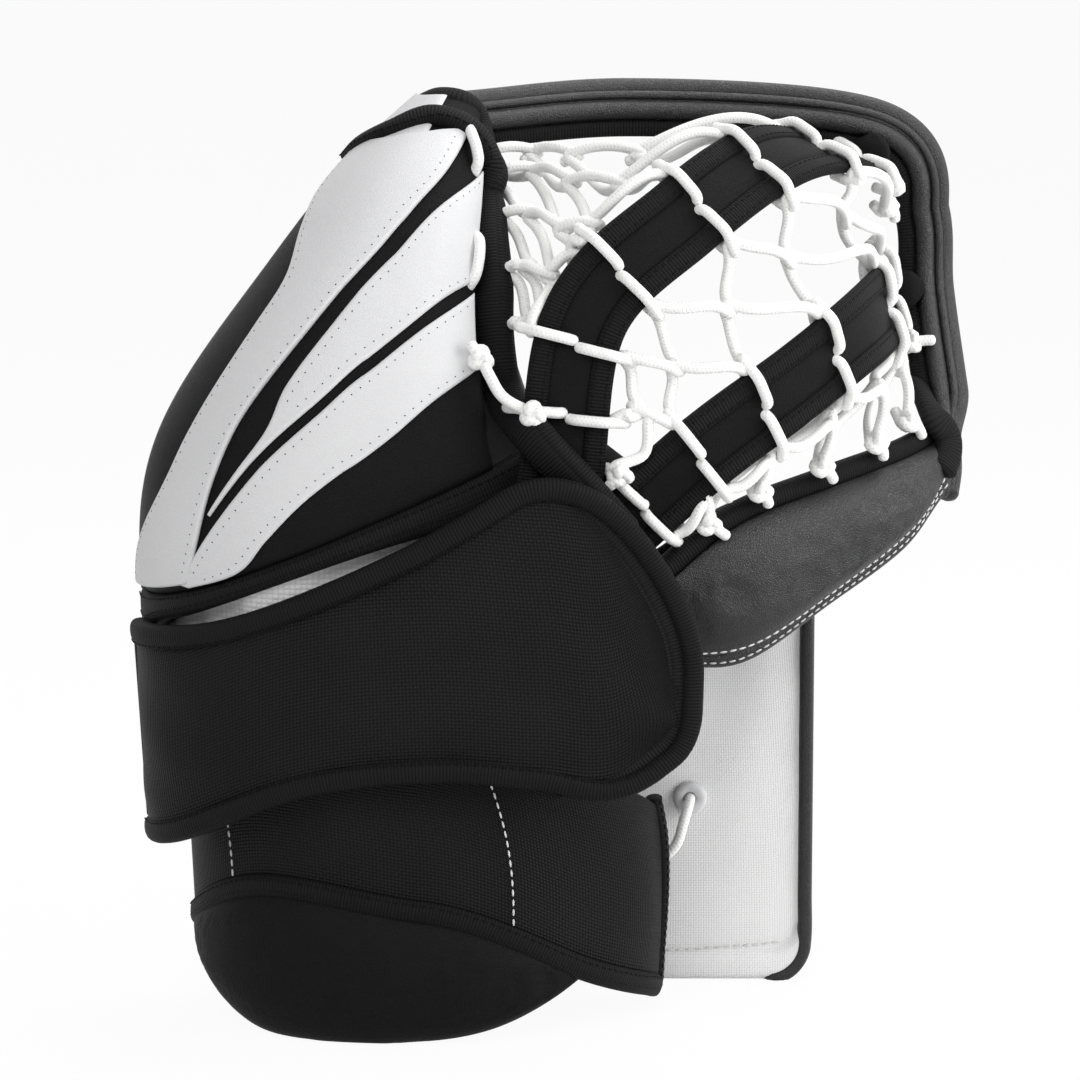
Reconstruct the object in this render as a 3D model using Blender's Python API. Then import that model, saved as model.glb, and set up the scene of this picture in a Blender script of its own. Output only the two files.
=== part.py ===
"""Left-hand goalie catch glove that stands on its cuff, as separate bodies.

Metres, +Z up. The back of the hand faces -Y, the catching side +Y and the thumb +X.
The back of the glove is a stack of layers over one hand form. The pocket is one curved
basket surface, which carries the straps, the nets and the rim.
"""

import math

import bmesh
import bpy
import numpy as np
from mathutils import Vector

# Shared sizes
CLEARANCE = 0.0004
LAYER_GAP = 0.0008
LACE_DIAMETER = 0.0052
BINDING_RADIUS = 0.0045
EDGE_ROLL_RADIUS = 0.0070
LEATHER = 0.0030
CROWN_POWER = 4
BESIDE_SHARE = 0.04
SMALL_STEP = 1e-4

# Height of the fingertip edge
FINGER_TOP = 0.408

# Hand form: height, left X, right X, front Y, left back Y, right back Y of a half-oval section
HAND_FORM = (
    (0.000, -0.162, 0.044, -0.074, 0.020, 0.020),
    (0.090, -0.164, 0.044, -0.078, 0.020, 0.005),
    (0.180, -0.178, 0.010, -0.080, 0.018, -0.010),
    (0.260, -0.171, -0.008, -0.080, 0.014, -0.022),
    (FINGER_TOP - 0.078, -0.125, -0.027, -0.056, 0.030, 0.005),
    (FINGER_TOP - 0.023, -0.079, -0.034, -0.012, 0.046, 0.045),
    (FINGER_TOP + 0.002, -0.051, -0.040, 0.026, 0.052, 0.060),
)
FORM_ROUNDNESS = 0.8

# Finger panel: span over the hand form, lower edge along X, top, thickness and crown
FINGER_SPAN = (0.04, 0.730)
SLOT_LINE = ((-0.187, 0.190), (-0.157, 0.203), (-0.112, 0.223), (-0.059, 0.245), (-0.013, 0.263))
EDGE_REACH = 0.97
FINGERTIP_SPAN = (0.06, 0.94)
FINGER_THICK = 0.010
FINGER_CROWN = 0.004
OVERLAY = 0.0012
OVERLAY_GAP = 0.0009

# White overlays: two edges each, as (share across, share up) of the finger panel
OVERLAY_EDGES = {
    "overlay_outer": (
        ((0.04, 0.03), (0.11, 0.10), (0.23, 0.21), (0.29, 0.32), (0.34, 0.52), (0.35, 0.63),
         (0.25, 0.73), (0.12, 0.81), (0.08, 0.89)),
        ((0.31, 0.03), (0.36, 0.11), (0.40, 0.23), (0.44, 0.36), (0.54, 0.55), (0.63, 0.67),
         (0.69, 0.74), (0.76, 0.81), (0.84, 0.90)),
    ),
    "overlay_middle": (
        ((0.40, 0.16), (0.49, 0.29), (0.52, 0.39), (0.58, 0.50), (0.66, 0.61), (0.76, 0.72), (0.95, 0.80)),
        ((0.41, 0.15), (0.51, 0.26), (0.60, 0.34), (0.67, 0.41), (0.76, 0.46), (0.85, 0.49), (0.95, 0.52)),
    ),
    "overlay_lower": (
        ((0.34, 0.03), (0.40, 0.10), (0.45, 0.16), (0.52, 0.24), (0.61, 0.31), (0.68, 0.38),
         (0.79, 0.43), (0.95, 0.48)),
        ((0.43, 0.02), (0.48, 0.03), (0.53, 0.06), (0.60, 0.12), (0.66, 0.16), (0.73, 0.20),
         (0.83, 0.25), (0.95, 0.28)),
    ),
}

# Wrist band, wrist pad and liner on the hand form
BAND_SPAN = (0.03, 0.95)
BAND_LOWER = ((0.00, 0.044), (0.30, 0.074), (0.50, 0.066), (0.75, 0.034), (1.00, 0.012))
BAND_UPPER = ((0.00, 0.150), (0.50, 0.160), (0.80, 0.120), (1.00, 0.095))
BAND_THICK = 0.0035
PAD_SPAN = (0.045, 0.70)
PAD_LOWER = ((0.00, 0.026), (0.18, 0.006), (0.35, 0.000), (0.70, 0.000), (0.85, 0.004), (1.00, 0.014))
PAD_THICK = 0.004
PAD_CROWN = 0.009
PAD_DROP = 0.0022
LINER_SPAN = (0.10, 0.76)
LINER_HEIGHTS = (0.110, 0.290)
LINER_THICK = 0.004
LOOP_PATCH = ((0.55, 0.72), (0.60, 0.96))

# Wrist strap: its own form with the same columns as the hand form, and its outline over X
STRAP_FORM = (
    (0.080, -0.178, 0.086, -0.092, -0.006, -0.045),
    (0.260, -0.188, 0.094, -0.094, -0.010, -0.060),
)
STRAP_SPAN = (0.03, 0.72)
STRAP_MIDDLE = 0.160
STRAP_LOWER = ((-0.185, 0.090), (-0.112, 0.126), (-0.059, 0.134), (-0.007, 0.133),
               (0.030, 0.132), (0.050, 0.147))
STRAP_UPPER = ((-0.185, 0.168), (-0.141, 0.184), (-0.095, 0.203), (-0.060, 0.220), (-0.030, 0.236),
               (-0.008, 0.246), (0.012, 0.239), (0.030, 0.218), (0.043, 0.194), (0.050, 0.175))
STRAP_THICK = 0.007
LOBE_RADIUS = 0.0065
LOBE_START = 0.77
LOBE_GAP = 0.0016
LOBE_EDGE = 0.99
LOBE_SIDE = (0.8, 0.2)
LOBE_END = 0.90
STRAP_BINDING_SPAN = (0.03, 0.86)
HOOK_PATCH = ((0.62, 0.80), (0.10, 0.60))
HINGE_RADIUS = 0.004
PATCH_THICK = 0.0018
ANCHOR_HEIGHTS = (0.096, 0.146)
ANCHOR_TURN = 0.03
ANCHOR_THICK = 0.005
ANCHOR_FOOT = 0.0060

# Pocket basket: curves from the crotch to the rim, at these shares across from finger to thumb
BASKET_SHARES = (0.00, 0.18, 0.40, 0.60, 0.80, 1.00)
BASKET_CURVES = (
    ((-0.002, -0.072, 0.262), (-0.016, -0.058, 0.313), (-0.020, -0.036, 0.352),
     (-0.024, 0.000, 0.377), (-0.040, 0.046, 0.388)),
    ((0.002, -0.077, 0.264), (0.002, -0.069, 0.323), (0.013, -0.050, 0.361),
     (0.025, 0.005, 0.383), (0.034, 0.081, 0.391)),
    ((0.0015, -0.0795, 0.2506), (0.013, -0.072, 0.326), (0.056, -0.050, 0.367),
     (0.101, 0.000, 0.391), (0.145, 0.081, 0.382)),
    ((0.016, -0.078, 0.252), (0.045, -0.074, 0.297), (0.082, -0.055, 0.332),
     (0.121, -0.009, 0.355), (0.159, 0.085, 0.352)),
    ((0.022, -0.066, 0.226), (0.066, -0.066, 0.266), (0.106, -0.048, 0.293),
     (0.140, -0.008, 0.314), (0.161, 0.081, 0.318)),
    ((0.046, -0.060, 0.216), (0.082, -0.050, 0.243), (0.123, -0.022, 0.255),
     (0.155, 0.014, 0.262), (0.167, 0.056, 0.268)),
)
STRAP_CORE_WIDTH = 0.017
STRAP_BINDING_WIDTH = 0.010
T_STRAP_THICK = 0.005
T_STRAP_REACH = (0.02, 0.955)
NET_REACH = {"finger": (0.42, 0.980), "middle": (0.24, 0.760), "thumb": (0.20, 0.986)}
NET_ROWS = 6
NET_ZIGZAG = 0.30
NET_MARGIN = 0.0013
BREAK_SPREAD = 1.12

# Rim section: distance out from the net edge and towards the catching side
RIM_BREAK_GAP = 0.011
RIM_END = 0.97
RIM_STEP = 0.01
RIM_TAPE = (0.0004, 0.0076)
RIM_TAPE_HALF = 0.0025
RIM_BACK_ROLL = (0.0125, 0.0000, 0.0045)
RIM_PIPING = (0.0193, 0.0020, 0.0022)
RIM_FACE_ROLL = (0.0215, 0.0092, 0.0052)

# Thumb: upper and lower edges of the pad from its base to its tip, and its layers
THUMB_UPPER = ((0.050, -0.062, 0.2085), (0.082, -0.048, 0.2315), (0.123, -0.020, 0.2430),
               (0.157, 0.012, 0.2500), (0.175, 0.034, 0.2550))
THUMB_LOWER = ((0.054, -0.050, 0.172), (0.086, -0.042, 0.174), (0.124, -0.018, 0.195),
               (0.159, 0.008, 0.217), (0.178, 0.030, 0.239))
THUMB_BACK = 0.004
THUMB_CROWN = 0.010
THUMB_STALL_DEPTH = 0.022
THUMB_FACE = 0.005
THUMB_STALL_SHARE = (0.22, 0.78)
THUMB_STALL_WALL = 0.002
THUMB_STALL_REACH = (0.04, 0.90)
THUMB_STALL_END = 0.05
THUMB_FOAM_SPAN = (0.02, 0.98)
WELT_RADIUS = 0.0040

# Catching side: heights with the inner edge X and Y, and where the pinky edge stands
FACE_INNER = ((0.250, -0.004, -0.040), (0.300, -0.022, -0.030), (0.335, -0.032, -0.004),
              (0.365, -0.040, 0.030), (0.388, -0.048, 0.066))
FACE_HEIGHTS = (0.252, 0.386)
FACE_BOARD_REACH = 0.80
FACE_PINKY_SHIFT = (0.006, 0.012, 0.0)
PALM_CORNERS = ((-0.165, 0.034, 0.1484), (0.014, 0.041, 0.1484),
                (-0.168, 0.032, 0.2495), (-0.008, -0.036, 0.2495))
CROTCH_CORNERS = ((-0.0233, -0.0676, 0.222), (0.0147, -0.0717, 0.212),
                  (-0.0175, -0.0690, 0.2575), (0.0150, -0.0783, 0.2552))
FACE_BOARD = 0.010
DIVIDER_THICK = 0.0025
DIVIDER_GAP = 0.0017
DIVIDER_HEIGHTS = (0.262, 0.345)
DIVIDERS = {"divider_index": 0.60, "divider_middle": 0.44, "divider_ring": 0.28}

# Side gusset from the wrist band to the cuff board: lower left, lower right, upper left, upper right
GUSSET_CORNERS = ((-0.160, 0.024, 0.040), (-0.0788, 0.038, 0.006),
                  (-0.166, 0.022, 0.140), (-0.0788, 0.038, 0.142))

# Cuff board: outline corners in X and Z, near face and layers
CUFF_NEAR = 0.036
CUFF_LEFT = -0.078
CUFF_RIGHT = 0.117
CUFF_TOP_LEFT = 0.146
CUFF_TOP_BEND = (0.058, 0.146)
CUFF_TOP_RIGHT = 0.186
CUFF_LINING = 0.003
CUFF_CORE = 0.012
CUFF_FACE = 0.003
CUFF_TRIM = 0.004
BUTTON_PLACE = (0.063, 0.088)
BUTTON_RADIUS = 0.0075
BUTTON_THICK = 0.003
CUFF_LACE_ROUTE = ((0.0630, 0.0280, 0.0880), (0.0600, 0.0180, 0.0800),
                   (0.0560, 0.0140, 0.0690), (0.0480, 0.0150, 0.0610))

# Break line of the glove: hinge line on the catching side of the straps and the rim
BREAK_LOW = (0.020, -0.066, 0.268)
BREAK_HIGH = (0.178, 0.105, 0.366)

# Materials: colour and roughness
LOOKS = {
    "black_leather": ((0.012, 0.012, 0.013), 0.42),
    "black_nylon": ((0.010, 0.010, 0.011), 0.62),
    "black_binding": ((0.008, 0.008, 0.009), 0.70),
    "white_leather": ((0.62, 0.62, 0.63), 0.45),
    "white_liner": ((0.55, 0.55, 0.54), 0.85),
    "white_nylon": ((0.58, 0.58, 0.58), 0.75),
    "white_lace": ((0.78, 0.78, 0.77), 0.70),
    "grey_foam": ((0.10, 0.10, 0.10), 0.90),
    "grey_felt": ((0.20, 0.20, 0.20), 0.95),
}


def clear_scene():
    for item in list(bpy.data.objects):
        bpy.data.objects.remove(item, do_unlink=True)


def look(name):
    """One material for each entry of LOOKS, made at its first use."""
    if name in bpy.data.materials:
        return bpy.data.materials[name]
    colour, roughness = LOOKS[name]
    made = bpy.data.materials.new(name)
    made.use_nodes = True
    shader = made.node_tree.nodes["Principled BSDF"]
    shader.inputs["Base Color"].default_value = (*colour, 1.0)
    shader.inputs["Roughness"].default_value = roughness
    shader.inputs["Metallic"].default_value = 0.0
    return made


def smooth(knots, values, at):
    """Values on a smooth curve through the knots, at any places along it."""
    knots = np.asarray(knots, float)
    values = np.asarray(values, float)
    if values.ndim == 1:
        return smooth(knots, values[:, None], at)[..., 0]
    at = np.asarray(at, float)
    slopes = np.gradient(values, knots, axis=0)
    first = np.clip(np.searchsorted(knots, at, side="right") - 1, 0, len(knots) - 2)
    length = (knots[first + 1] - knots[first])[..., None]
    share = (at - knots[first])[..., None] / length
    keep = 2 * share ** 3 - 3 * share ** 2 + 1
    lead = share ** 3 - 2 * share ** 2 + share
    tail = share ** 3 - share ** 2
    return keep * values[first] + (1 - keep) * values[first + 1] + length * (
        lead * slopes[first] + tail * slopes[first + 1])


def along(points, share):
    """Points on a smooth curve through a few points, evenly spaced in share 0 to 1."""
    return smooth(np.linspace(0, 1, len(points)), points, share)


def pairs(table, at):
    """Second column of a two-column table as a smooth function of the first."""
    table = np.asarray(table, float)
    inside = np.clip(at, table[0, 0], table[-1, 0])
    return smooth(table[:, 0], table[:, 1], inside)


def blend(low, high, share):
    return low + (high - low) * share


def oval_form(table, turn, height):
    """Point on a half-oval section: turn runs 0 at the left back, 0.5 in front, 1 at the right back."""
    table = np.asarray(table, float)
    if len(table) == 2:
        share = (height - table[0, 0]) / (table[1, 0] - table[0, 0])
        row = blend(table[0, 1:], table[1, 1:], share[..., None])
    else:
        row = smooth(table[:, 0], table[:, 1:], height)
    left, right, front, left_back, right_back = np.moveaxis(row, -1, 0)
    cosine = np.cos(np.pi * turn)
    sine = np.abs(np.sin(np.pi * turn)) ** FORM_ROUNDNESS
    across = np.sign(cosine) * np.abs(cosine) ** FORM_ROUNDNESS
    back = np.where(turn < 0.5, left_back, right_back)
    x = (left + right) / 2 - (right - left) / 2 * across
    return np.stack([x, back - (back - front) * sine, height], axis=-1)


def finger_surface(across, up):
    turn = blend(*FINGER_SPAN, across)
    middle_height = np.full_like(turn, (SLOT_LINE[0][1] + SLOT_LINE[-1][1]) / 2)
    bottom = pairs(SLOT_LINE, oval_form(HAND_FORM, turn, middle_height)[..., 0])
    return oval_form(HAND_FORM, turn, blend(bottom, FINGER_TOP, up))


def band_surface(across, up):
    height = blend(pairs(BAND_LOWER, across), pairs(BAND_UPPER, across), up)
    return oval_form(HAND_FORM, blend(*BAND_SPAN, across), height)


def pad_surface(across, up):
    turn = blend(*PAD_SPAN, across)
    top_share = (turn - BAND_SPAN[0]) / (BAND_SPAN[1] - BAND_SPAN[0])
    top = pairs(BAND_LOWER, top_share) - 2 * BINDING_RADIUS - PAD_DROP
    return oval_form(HAND_FORM, turn, blend(pairs(PAD_LOWER, across), top, up))


def liner_surface(across, up):
    return oval_form(HAND_FORM, blend(*LINER_SPAN, across), blend(*LINER_HEIGHTS, up))


def strap_surface(across, up):
    turn = blend(*STRAP_SPAN, across)
    x = oval_form(STRAP_FORM, turn, np.full_like(turn, STRAP_MIDDLE))[..., 0]
    return oval_form(STRAP_FORM, turn, blend(pairs(STRAP_LOWER, x), pairs(STRAP_UPPER, x), up))


def basket(reach, share):
    """Pocket surface: reach 0 at the crotch to 1 at the rim, share 0 at the fingers to 1 at the thumb."""
    curves = np.stack([along(curve, reach) for curve in BASKET_CURVES])
    shape = np.shape(reach)
    flat = curves.reshape(len(BASKET_CURVES), -1, 3)
    places = np.broadcast_to(share, shape).reshape(-1)
    points = [smooth(BASKET_SHARES, flat[:, k], places[k]) for k in range(len(places))]
    return np.asarray(points).reshape(*shape, 3)


def thumb_surface(reach, up):
    upper = along(THUMB_UPPER, reach)
    lower = along(THUMB_LOWER, reach)
    return blend(lower, upper, up[..., None])


def face_surface(across, up):
    height = blend(*FACE_HEIGHTS, up)
    table = np.asarray(FACE_INNER)
    inner = smooth(table[:, 0], table[:, 1:], np.clip(height, table[0, 0], table[-1, 0]))
    inner = np.concatenate([inner, height[..., None]], axis=-1)
    pinky = oval_form(HAND_FORM, np.zeros_like(height), height) + np.array(FACE_PINKY_SHIFT)
    return blend(pinky, inner, across[..., None])


def four_corners(corners, across, up):
    """Ruled surface: corners are lower left, lower right, upper left and upper right."""
    low_left, low_right, top_left, top_right = np.asarray(corners)
    low = blend(low_left, low_right, across[..., None])
    return blend(low, blend(top_left, top_right, across[..., None]), up[..., None])


def palm_surface(across, up):
    return four_corners(PALM_CORNERS, across, up)


def gusset_surface(across, up):
    return four_corners(GUSSET_CORNERS, across, up)


def crotch_surface(across, up):
    return four_corners(CROTCH_CORNERS, across, up)


def cuff_surface(across, up):
    x = blend(CUFF_LEFT, CUFF_RIGHT, across)
    bend_x, bend_z = CUFF_TOP_BEND
    top = np.interp(x, (CUFF_LEFT, bend_x, CUFF_RIGHT), (CUFF_TOP_LEFT, bend_z, CUFF_TOP_RIGHT))
    return np.stack([x, np.full_like(x, CUFF_NEAR), top * up], axis=-1)


def unit(vectors):
    return vectors / np.linalg.norm(vectors, axis=-1, keepdims=True)


def normals(surface, across, up):
    """Directions away from the hand, from small steps on the surface."""
    side = surface(across + SMALL_STEP, up) - surface(across - SMALL_STEP, up)
    rise = surface(across, up + SMALL_STEP) - surface(across, up - SMALL_STEP)
    return unit(np.cross(side, rise))


def lifted(surface, across, up, lift):
    lift = np.broadcast_to(lift, np.shape(across))
    return surface(across, up) + normals(surface, across, up) * lift[..., None]


def grid(count_across, count_up, across=(0.0, 1.0), up=(0.0, 1.0)):
    return np.meshgrid(np.linspace(*across, count_across), np.linspace(*up, count_up), indexing="ij")


def finish(name, mesh, material):
    """One named object with outward faces and its material."""
    shell = bmesh.new()
    shell.from_mesh(mesh)
    bmesh.ops.recalc_face_normals(shell, faces=shell.faces)
    shell.to_mesh(mesh)
    shell.free()
    made = bpy.data.objects.new(name, mesh)
    bpy.context.collection.objects.link(made)
    made.data.materials.clear()
    made.data.materials.append(look(material))
    return made


def closed_grid(name, near, far, material):
    """Solid between two point grids of the same size."""
    rows, columns = near.shape[:2]
    points = np.concatenate([near.reshape(-1, 3), far.reshape(-1, 3)])
    shift = rows * columns
    faces = []
    for i in range(rows - 1):
        for j in range(columns - 1):
            here = i * columns + j
            after = here + columns
            for corner in ((here, after, after + 1), (here, after + 1, here + 1)):
                faces.append(corner)
                faces.append(tuple(place + shift for place in reversed(corner)))
    edge = [i * columns for i in range(rows)] + [(rows - 1) * columns + j for j in range(1, columns)]
    edge += [i * columns + columns - 1 for i in range(rows - 2, -1, -1)] + list(range(columns - 2, 0, -1))
    for first, second in zip(edge, edge[1:] + edge[:1]):
        faces.append((second, first, first + shift, second + shift))
    mesh = bpy.data.meshes.new(name)
    mesh.from_pydata([tuple(point) for point in points], [], faces)
    return finish(name, mesh, material)


def layer(name, surface, counts, low, high, material, across=(0.0, 1.0), up=(0.0, 1.0)):
    """Solid between two lifts above a surface; a lift is a number or a function of the place."""
    a, v = grid(*counts, across, up)
    low = low(a, v) if callable(low) else low
    high = high(a, v) if callable(high) else high
    return closed_grid(name, lifted(surface, a, v, high), lifted(surface, a, v, low), material)


def tube(name, points, radius, material, sides=2):
    """Round solid along a path, with closed ends."""
    path = bpy.data.curves.new(name, "CURVE")
    path.dimensions = "3D"
    path.bevel_depth = radius
    path.bevel_resolution = sides
    path.use_fill_caps = True
    line = path.splines.new("POLY")
    line.points.add(len(points) - 1)
    for place, point in zip(line.points, points):
        place.co = (*point, 1.0)
    made = bpy.data.objects.new(name, path)
    bpy.context.collection.objects.link(made)
    mesh = bpy.data.meshes.new_from_object(made.evaluated_get(bpy.context.evaluated_depsgraph_get()))
    bpy.data.objects.remove(made, do_unlink=True)
    mesh.name = name
    shell = bmesh.new()
    shell.from_mesh(mesh)
    bmesh.ops.remove_doubles(shell, verts=shell.verts, dist=1e-6)
    shell.to_mesh(mesh)
    shell.free()
    return finish(name, mesh, material)


def edge_path(surface, across, up, lift, distance, side):
    """Path beside an edge of a surface, at a distance to its right (side 1) or left (side -1)."""
    points = lifted(surface, across, up, lift)
    outward = unit(np.cross(np.gradient(points, axis=0), normals(surface, across, up)))
    return points - outward * distance * side


def edge_tube(name, surface, across, up, lift, radius, side, material, gap=CLEARANCE):
    return tube(name, edge_path(surface, across, up, lift, radius + gap, side), radius, material)


def line(start, end, count):
    return np.linspace(start, end, count)


def crown(across, up):
    """Padded height: 0 at the edges, 1 in the middle, drawn in at the sides."""
    sideways = 2 * np.clip(across, 0, 1) - 1
    upward = 2 * np.clip(up, 0, 1) - 1
    return (1 - sideways ** CROWN_POWER) * (1 - upward ** CROWN_POWER)


def finger_outer(across, up):
    return FINGER_THICK + FINGER_CROWN * crown(across, up)


def build_finger_panel():
    layer("finger_panel", finger_surface, (17, 15), LAYER_GAP, finger_outer, "black_leather")
    for name, (first, second) in OVERLAY_EDGES.items():
        share, width = grid(19, 9)
        spot = np.moveaxis(blend(along(first, share), along(second, share), width[..., None]), -1, 0)
        seat = finger_outer(*spot) + OVERLAY_GAP
        near = lifted(finger_surface, *spot, seat + OVERLAY)
        far = lifted(finger_surface, *spot, seat)
        closed_grid(name, near, far, "white_leather")
    middle = FINGER_THICK / 2

    def edge(name, across, up, side, material):
        edge_tube(name, finger_surface, across, up, middle, BINDING_RADIUS, side, material)

    edge("finger_base_binding", line(0.0, 1.0, 14), np.zeros(14), -1, "black_binding")
    edge("pinky_edge_roll", np.zeros(12), line(0.0, EDGE_REACH, 12), 1, "black_leather")
    edge("fingertip_binding", line(*FINGERTIP_SPAN, 8), np.ones(8), 1, "black_binding")
    reach = line(0.0, EDGE_REACH, 14)
    beside = LACE_DIAMETER / 2 + EDGE_ROLL_RADIUS + CLEARANCE
    start = basket(reach, np.zeros(14))
    sideways = unit(basket(reach, np.full(14, BESIDE_SHARE)) - start)
    tube("finger_edge_roll", start - sideways * beside, EDGE_ROLL_RADIUS, "black_leather")


def build_wrist():
    layer("hand_liner", liner_surface, (13, 9), -LINER_THICK, 0.0, "white_liner")
    layer("wrist_band", band_surface, (19, 5), LAYER_GAP, LAYER_GAP + BAND_THICK, "black_nylon")
    middle = LAYER_GAP + BAND_THICK / 2
    across = line(0.0, 1.0, 19)
    lower = np.zeros(19)
    edge_tube("wrist_band_binding", band_surface, across, lower, middle, BINDING_RADIUS, -1, "black_binding")
    build_wrist_pad()
    low = 2 * LAYER_GAP + BAND_THICK
    layer("loop_patch", band_surface, (6, 4), low, low + PATCH_THICK, "black_binding", *LOOP_PATCH)


def build_wrist_pad():
    """Crowned pad under the wrist band, cut flat at the floor."""
    a, v = grid(17, 7)
    near = lifted(pad_surface, a, v, PAD_THICK + PAD_CROWN * crown(a, v))
    far = lifted(pad_surface, a, v, 0.0)
    for points in (near, far):
        points[..., 2] = np.maximum(points[..., 2], 0.0)
    closed_grid("wrist_pad", near, far, "black_leather")


def build_strap():
    layer("strap_panel", strap_surface, (25, 7), 0.0, STRAP_THICK, "black_nylon")
    middle = STRAP_THICK / 2
    first, last = STRAP_BINDING_SPAN

    def binding(name, across, up, side, gap):
        edge_tube(name, strap_surface, across, up, middle, BINDING_RADIUS, side, "black_binding", gap)

    binding("strap_upper_binding", line(first, LOBE_START - first, 14), np.ones(14), 1, LAYER_GAP)
    binding("strap_lower_binding", line(first, last, 16), np.zeros(16), -1, CLEARANCE)
    top = line(LOBE_START, LOBE_EDGE, 9)
    bottom = line(LOBE_EDGE, LOBE_END, 4)
    across = np.concatenate([top, np.ones(3), bottom])
    up = np.concatenate([np.ones(9), line(*LOBE_SIDE, 3), np.zeros(4)])
    path = edge_path(strap_surface, across, up, middle, LOBE_RADIUS + LOBE_GAP, 1)
    tube("strap_lobe_roll", path, LOBE_RADIUS, "black_leather")
    hinge = edge_path(strap_surface, np.zeros(3), line(0.0, 1.0, 3), middle, HINGE_RADIUS + CLEARANCE, 1)
    tube("strap_hinge_roll", hinge, HINGE_RADIUS, "black_binding")
    low = -LAYER_GAP - PATCH_THICK
    layer("hook_patch", strap_surface, (6, 4), low, -LAYER_GAP, "black_binding", *HOOK_PATCH)
    build_anchor(hinge)
    return hinge


def build_anchor(hinge):
    """Sewn tab that ties the hinge roll to the wrist band."""
    height, depth = grid(4, 2, ANCHOR_HEIGHTS, (0.0, 1.0))
    share = (height - hinge[0, 2]) / (hinge[-1, 2] - hinge[0, 2])
    axis = blend(hinge[0], hinge[-1], share[..., None])
    turn = np.full_like(height, BAND_SPAN[0] + ANCHOR_TURN)
    foot = lifted(lambda a, v: oval_form(HAND_FORM, a, v), turn, height, ANCHOR_FOOT)
    towards = unit(foot - axis)
    points = blend(foot, axis + towards * (HINGE_RADIUS + CLEARANCE), depth[..., None])
    side = unit(np.cross(towards, np.array((0.0, 0.0, 1.0)))) * ANCHOR_THICK / 2
    closed_grid("anchor_tab", points + side, points - side, "black_nylon")


def strap_frame(share, reach):
    """Centre, sideways and outward directions of a T-strap along the basket."""
    share = np.full_like(reach, share)
    centre = basket(reach, share)
    tangent = unit(np.gradient(centre, axis=0))
    sideways = basket(reach, share + BESIDE_SHARE) - basket(reach, share - BESIDE_SHARE)
    sideways = unit(sideways - tangent * np.sum(sideways * tangent, axis=-1, keepdims=True))
    return centre, sideways, np.cross(sideways, tangent)


def ribbon(name, frame, inner, outer, low, high, material):
    """Flat band along a path, from one side distance to the other and between two heights."""
    centre, sideways, outward = frame

    def side(height):
        return np.stack([centre + sideways * reach + outward * height for reach in (inner, outer)], axis=1)

    return closed_grid(name, side(high), side(low), material)


def build_t_strap(name, share):
    frame = strap_frame(share, line(*T_STRAP_REACH, 14))
    half = STRAP_CORE_WIDTH / 2
    inner = half + CLEARANCE
    outer = inner + STRAP_BINDING_WIDTH
    heights = (-T_STRAP_THICK / 2, T_STRAP_THICK / 2)
    ribbon(name + "_core", frame, -half, half, *heights, "black_leather")
    ribbon(name + "_finger_binding", frame, -outer, -inner, *heights, "black_binding")
    ribbon(name + "_thumb_binding", frame, inner, outer, *heights, "black_binding")


def share_beside(share, reach, distance):
    """Share across the basket at a sideways distance from one of its curves."""
    if distance == 0.0:
        return share
    here = np.full(3, reach)
    before, centre, after = basket(here, share + np.array((-BESIDE_SHARE, 0.0, BESIDE_SHARE)))
    tries = share + math.copysign(1.0, distance) * np.linspace(0.0, 0.4, 61)
    away = (basket(np.full(61, reach), tries) - centre) @ unit(after - before)
    return np.interp(abs(distance), np.abs(away), tries)


def build_net(name, first, second, cells, span):
    """Lace net between two sides of the basket; a side is a share and a distance from it."""
    rows, columns = NET_ROWS, 2 * cells
    points = []
    for i in range(rows + 1):
        for j in range(columns + 1):
            up = NET_ZIGZAG if (i + j) % 2 == 0 else -NET_ZIGZAG
            up = max(up, 0) if i == 0 else min(up, 0) if i == rows else up
            reach = blend(*span, (i + up) / rows)
            start = share_beside(first[0], reach, first[1])
            stop = share_beside(second[0], reach, second[1])
            points.append(basket(np.array([reach]), np.array([blend(start, stop, j / columns)]))[0])
    shell = bmesh.new()
    corners = [shell.verts.new(point) for point in points]
    shell.verts.index_update()

    def corner(i, j):
        return corners[i * (columns + 1) + j]

    for i in range(rows):
        joins = [j for j in range(columns + 1) if (i + j) % 2 == 0]
        stops = sorted({0, columns, *joins})
        for left, right in zip(stops, stops[1:]):
            low = [corner(i, j) for j in range(left, right + 1)]
            high = [corner(i + 1, j) for j in range(right, left - 1, -1)]
            shell.faces.new(low + high)
    mesh = bpy.data.meshes.new(name)
    shell.to_mesh(mesh)
    shell.free()
    made = bpy.data.objects.new(name, mesh)
    bpy.context.collection.objects.link(made)
    wire = made.modifiers.new("strands", "WIREFRAME")
    wire.thickness = LACE_DIAMETER
    wire.use_boundary = True
    wire.use_replace = True
    wire.use_even_offset = False
    wire.use_relative_offset = False
    made.data.materials.append(look("white_lace"))


def build_pocket():
    build_t_strap("t_strap_finger", BASKET_SHARES[2])
    build_t_strap("t_strap_thumb", BASKET_SHARES[4])
    beside = STRAP_CORE_WIDTH / 2 + STRAP_BINDING_WIDTH + LACE_DIAMETER / 2 + 4 * CLEARANCE
    apart = LACE_DIAMETER * BREAK_SPREAD
    edge, _, first, fold, second, thumb = BASKET_SHARES
    build_net("net_finger", (edge, CLEARANCE), (first, -beside - NET_MARGIN), 3, NET_REACH["finger"])
    build_net("net_middle_finger_half", (first, beside), (fold, -apart), 1, NET_REACH["middle"])
    build_net("net_middle_thumb_half", (fold, apart), (second, -beside), 1, NET_REACH["middle"])
    build_net("net_thumb", (second, beside), (thumb, 0.0), 1, NET_REACH["thumb"])


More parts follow.
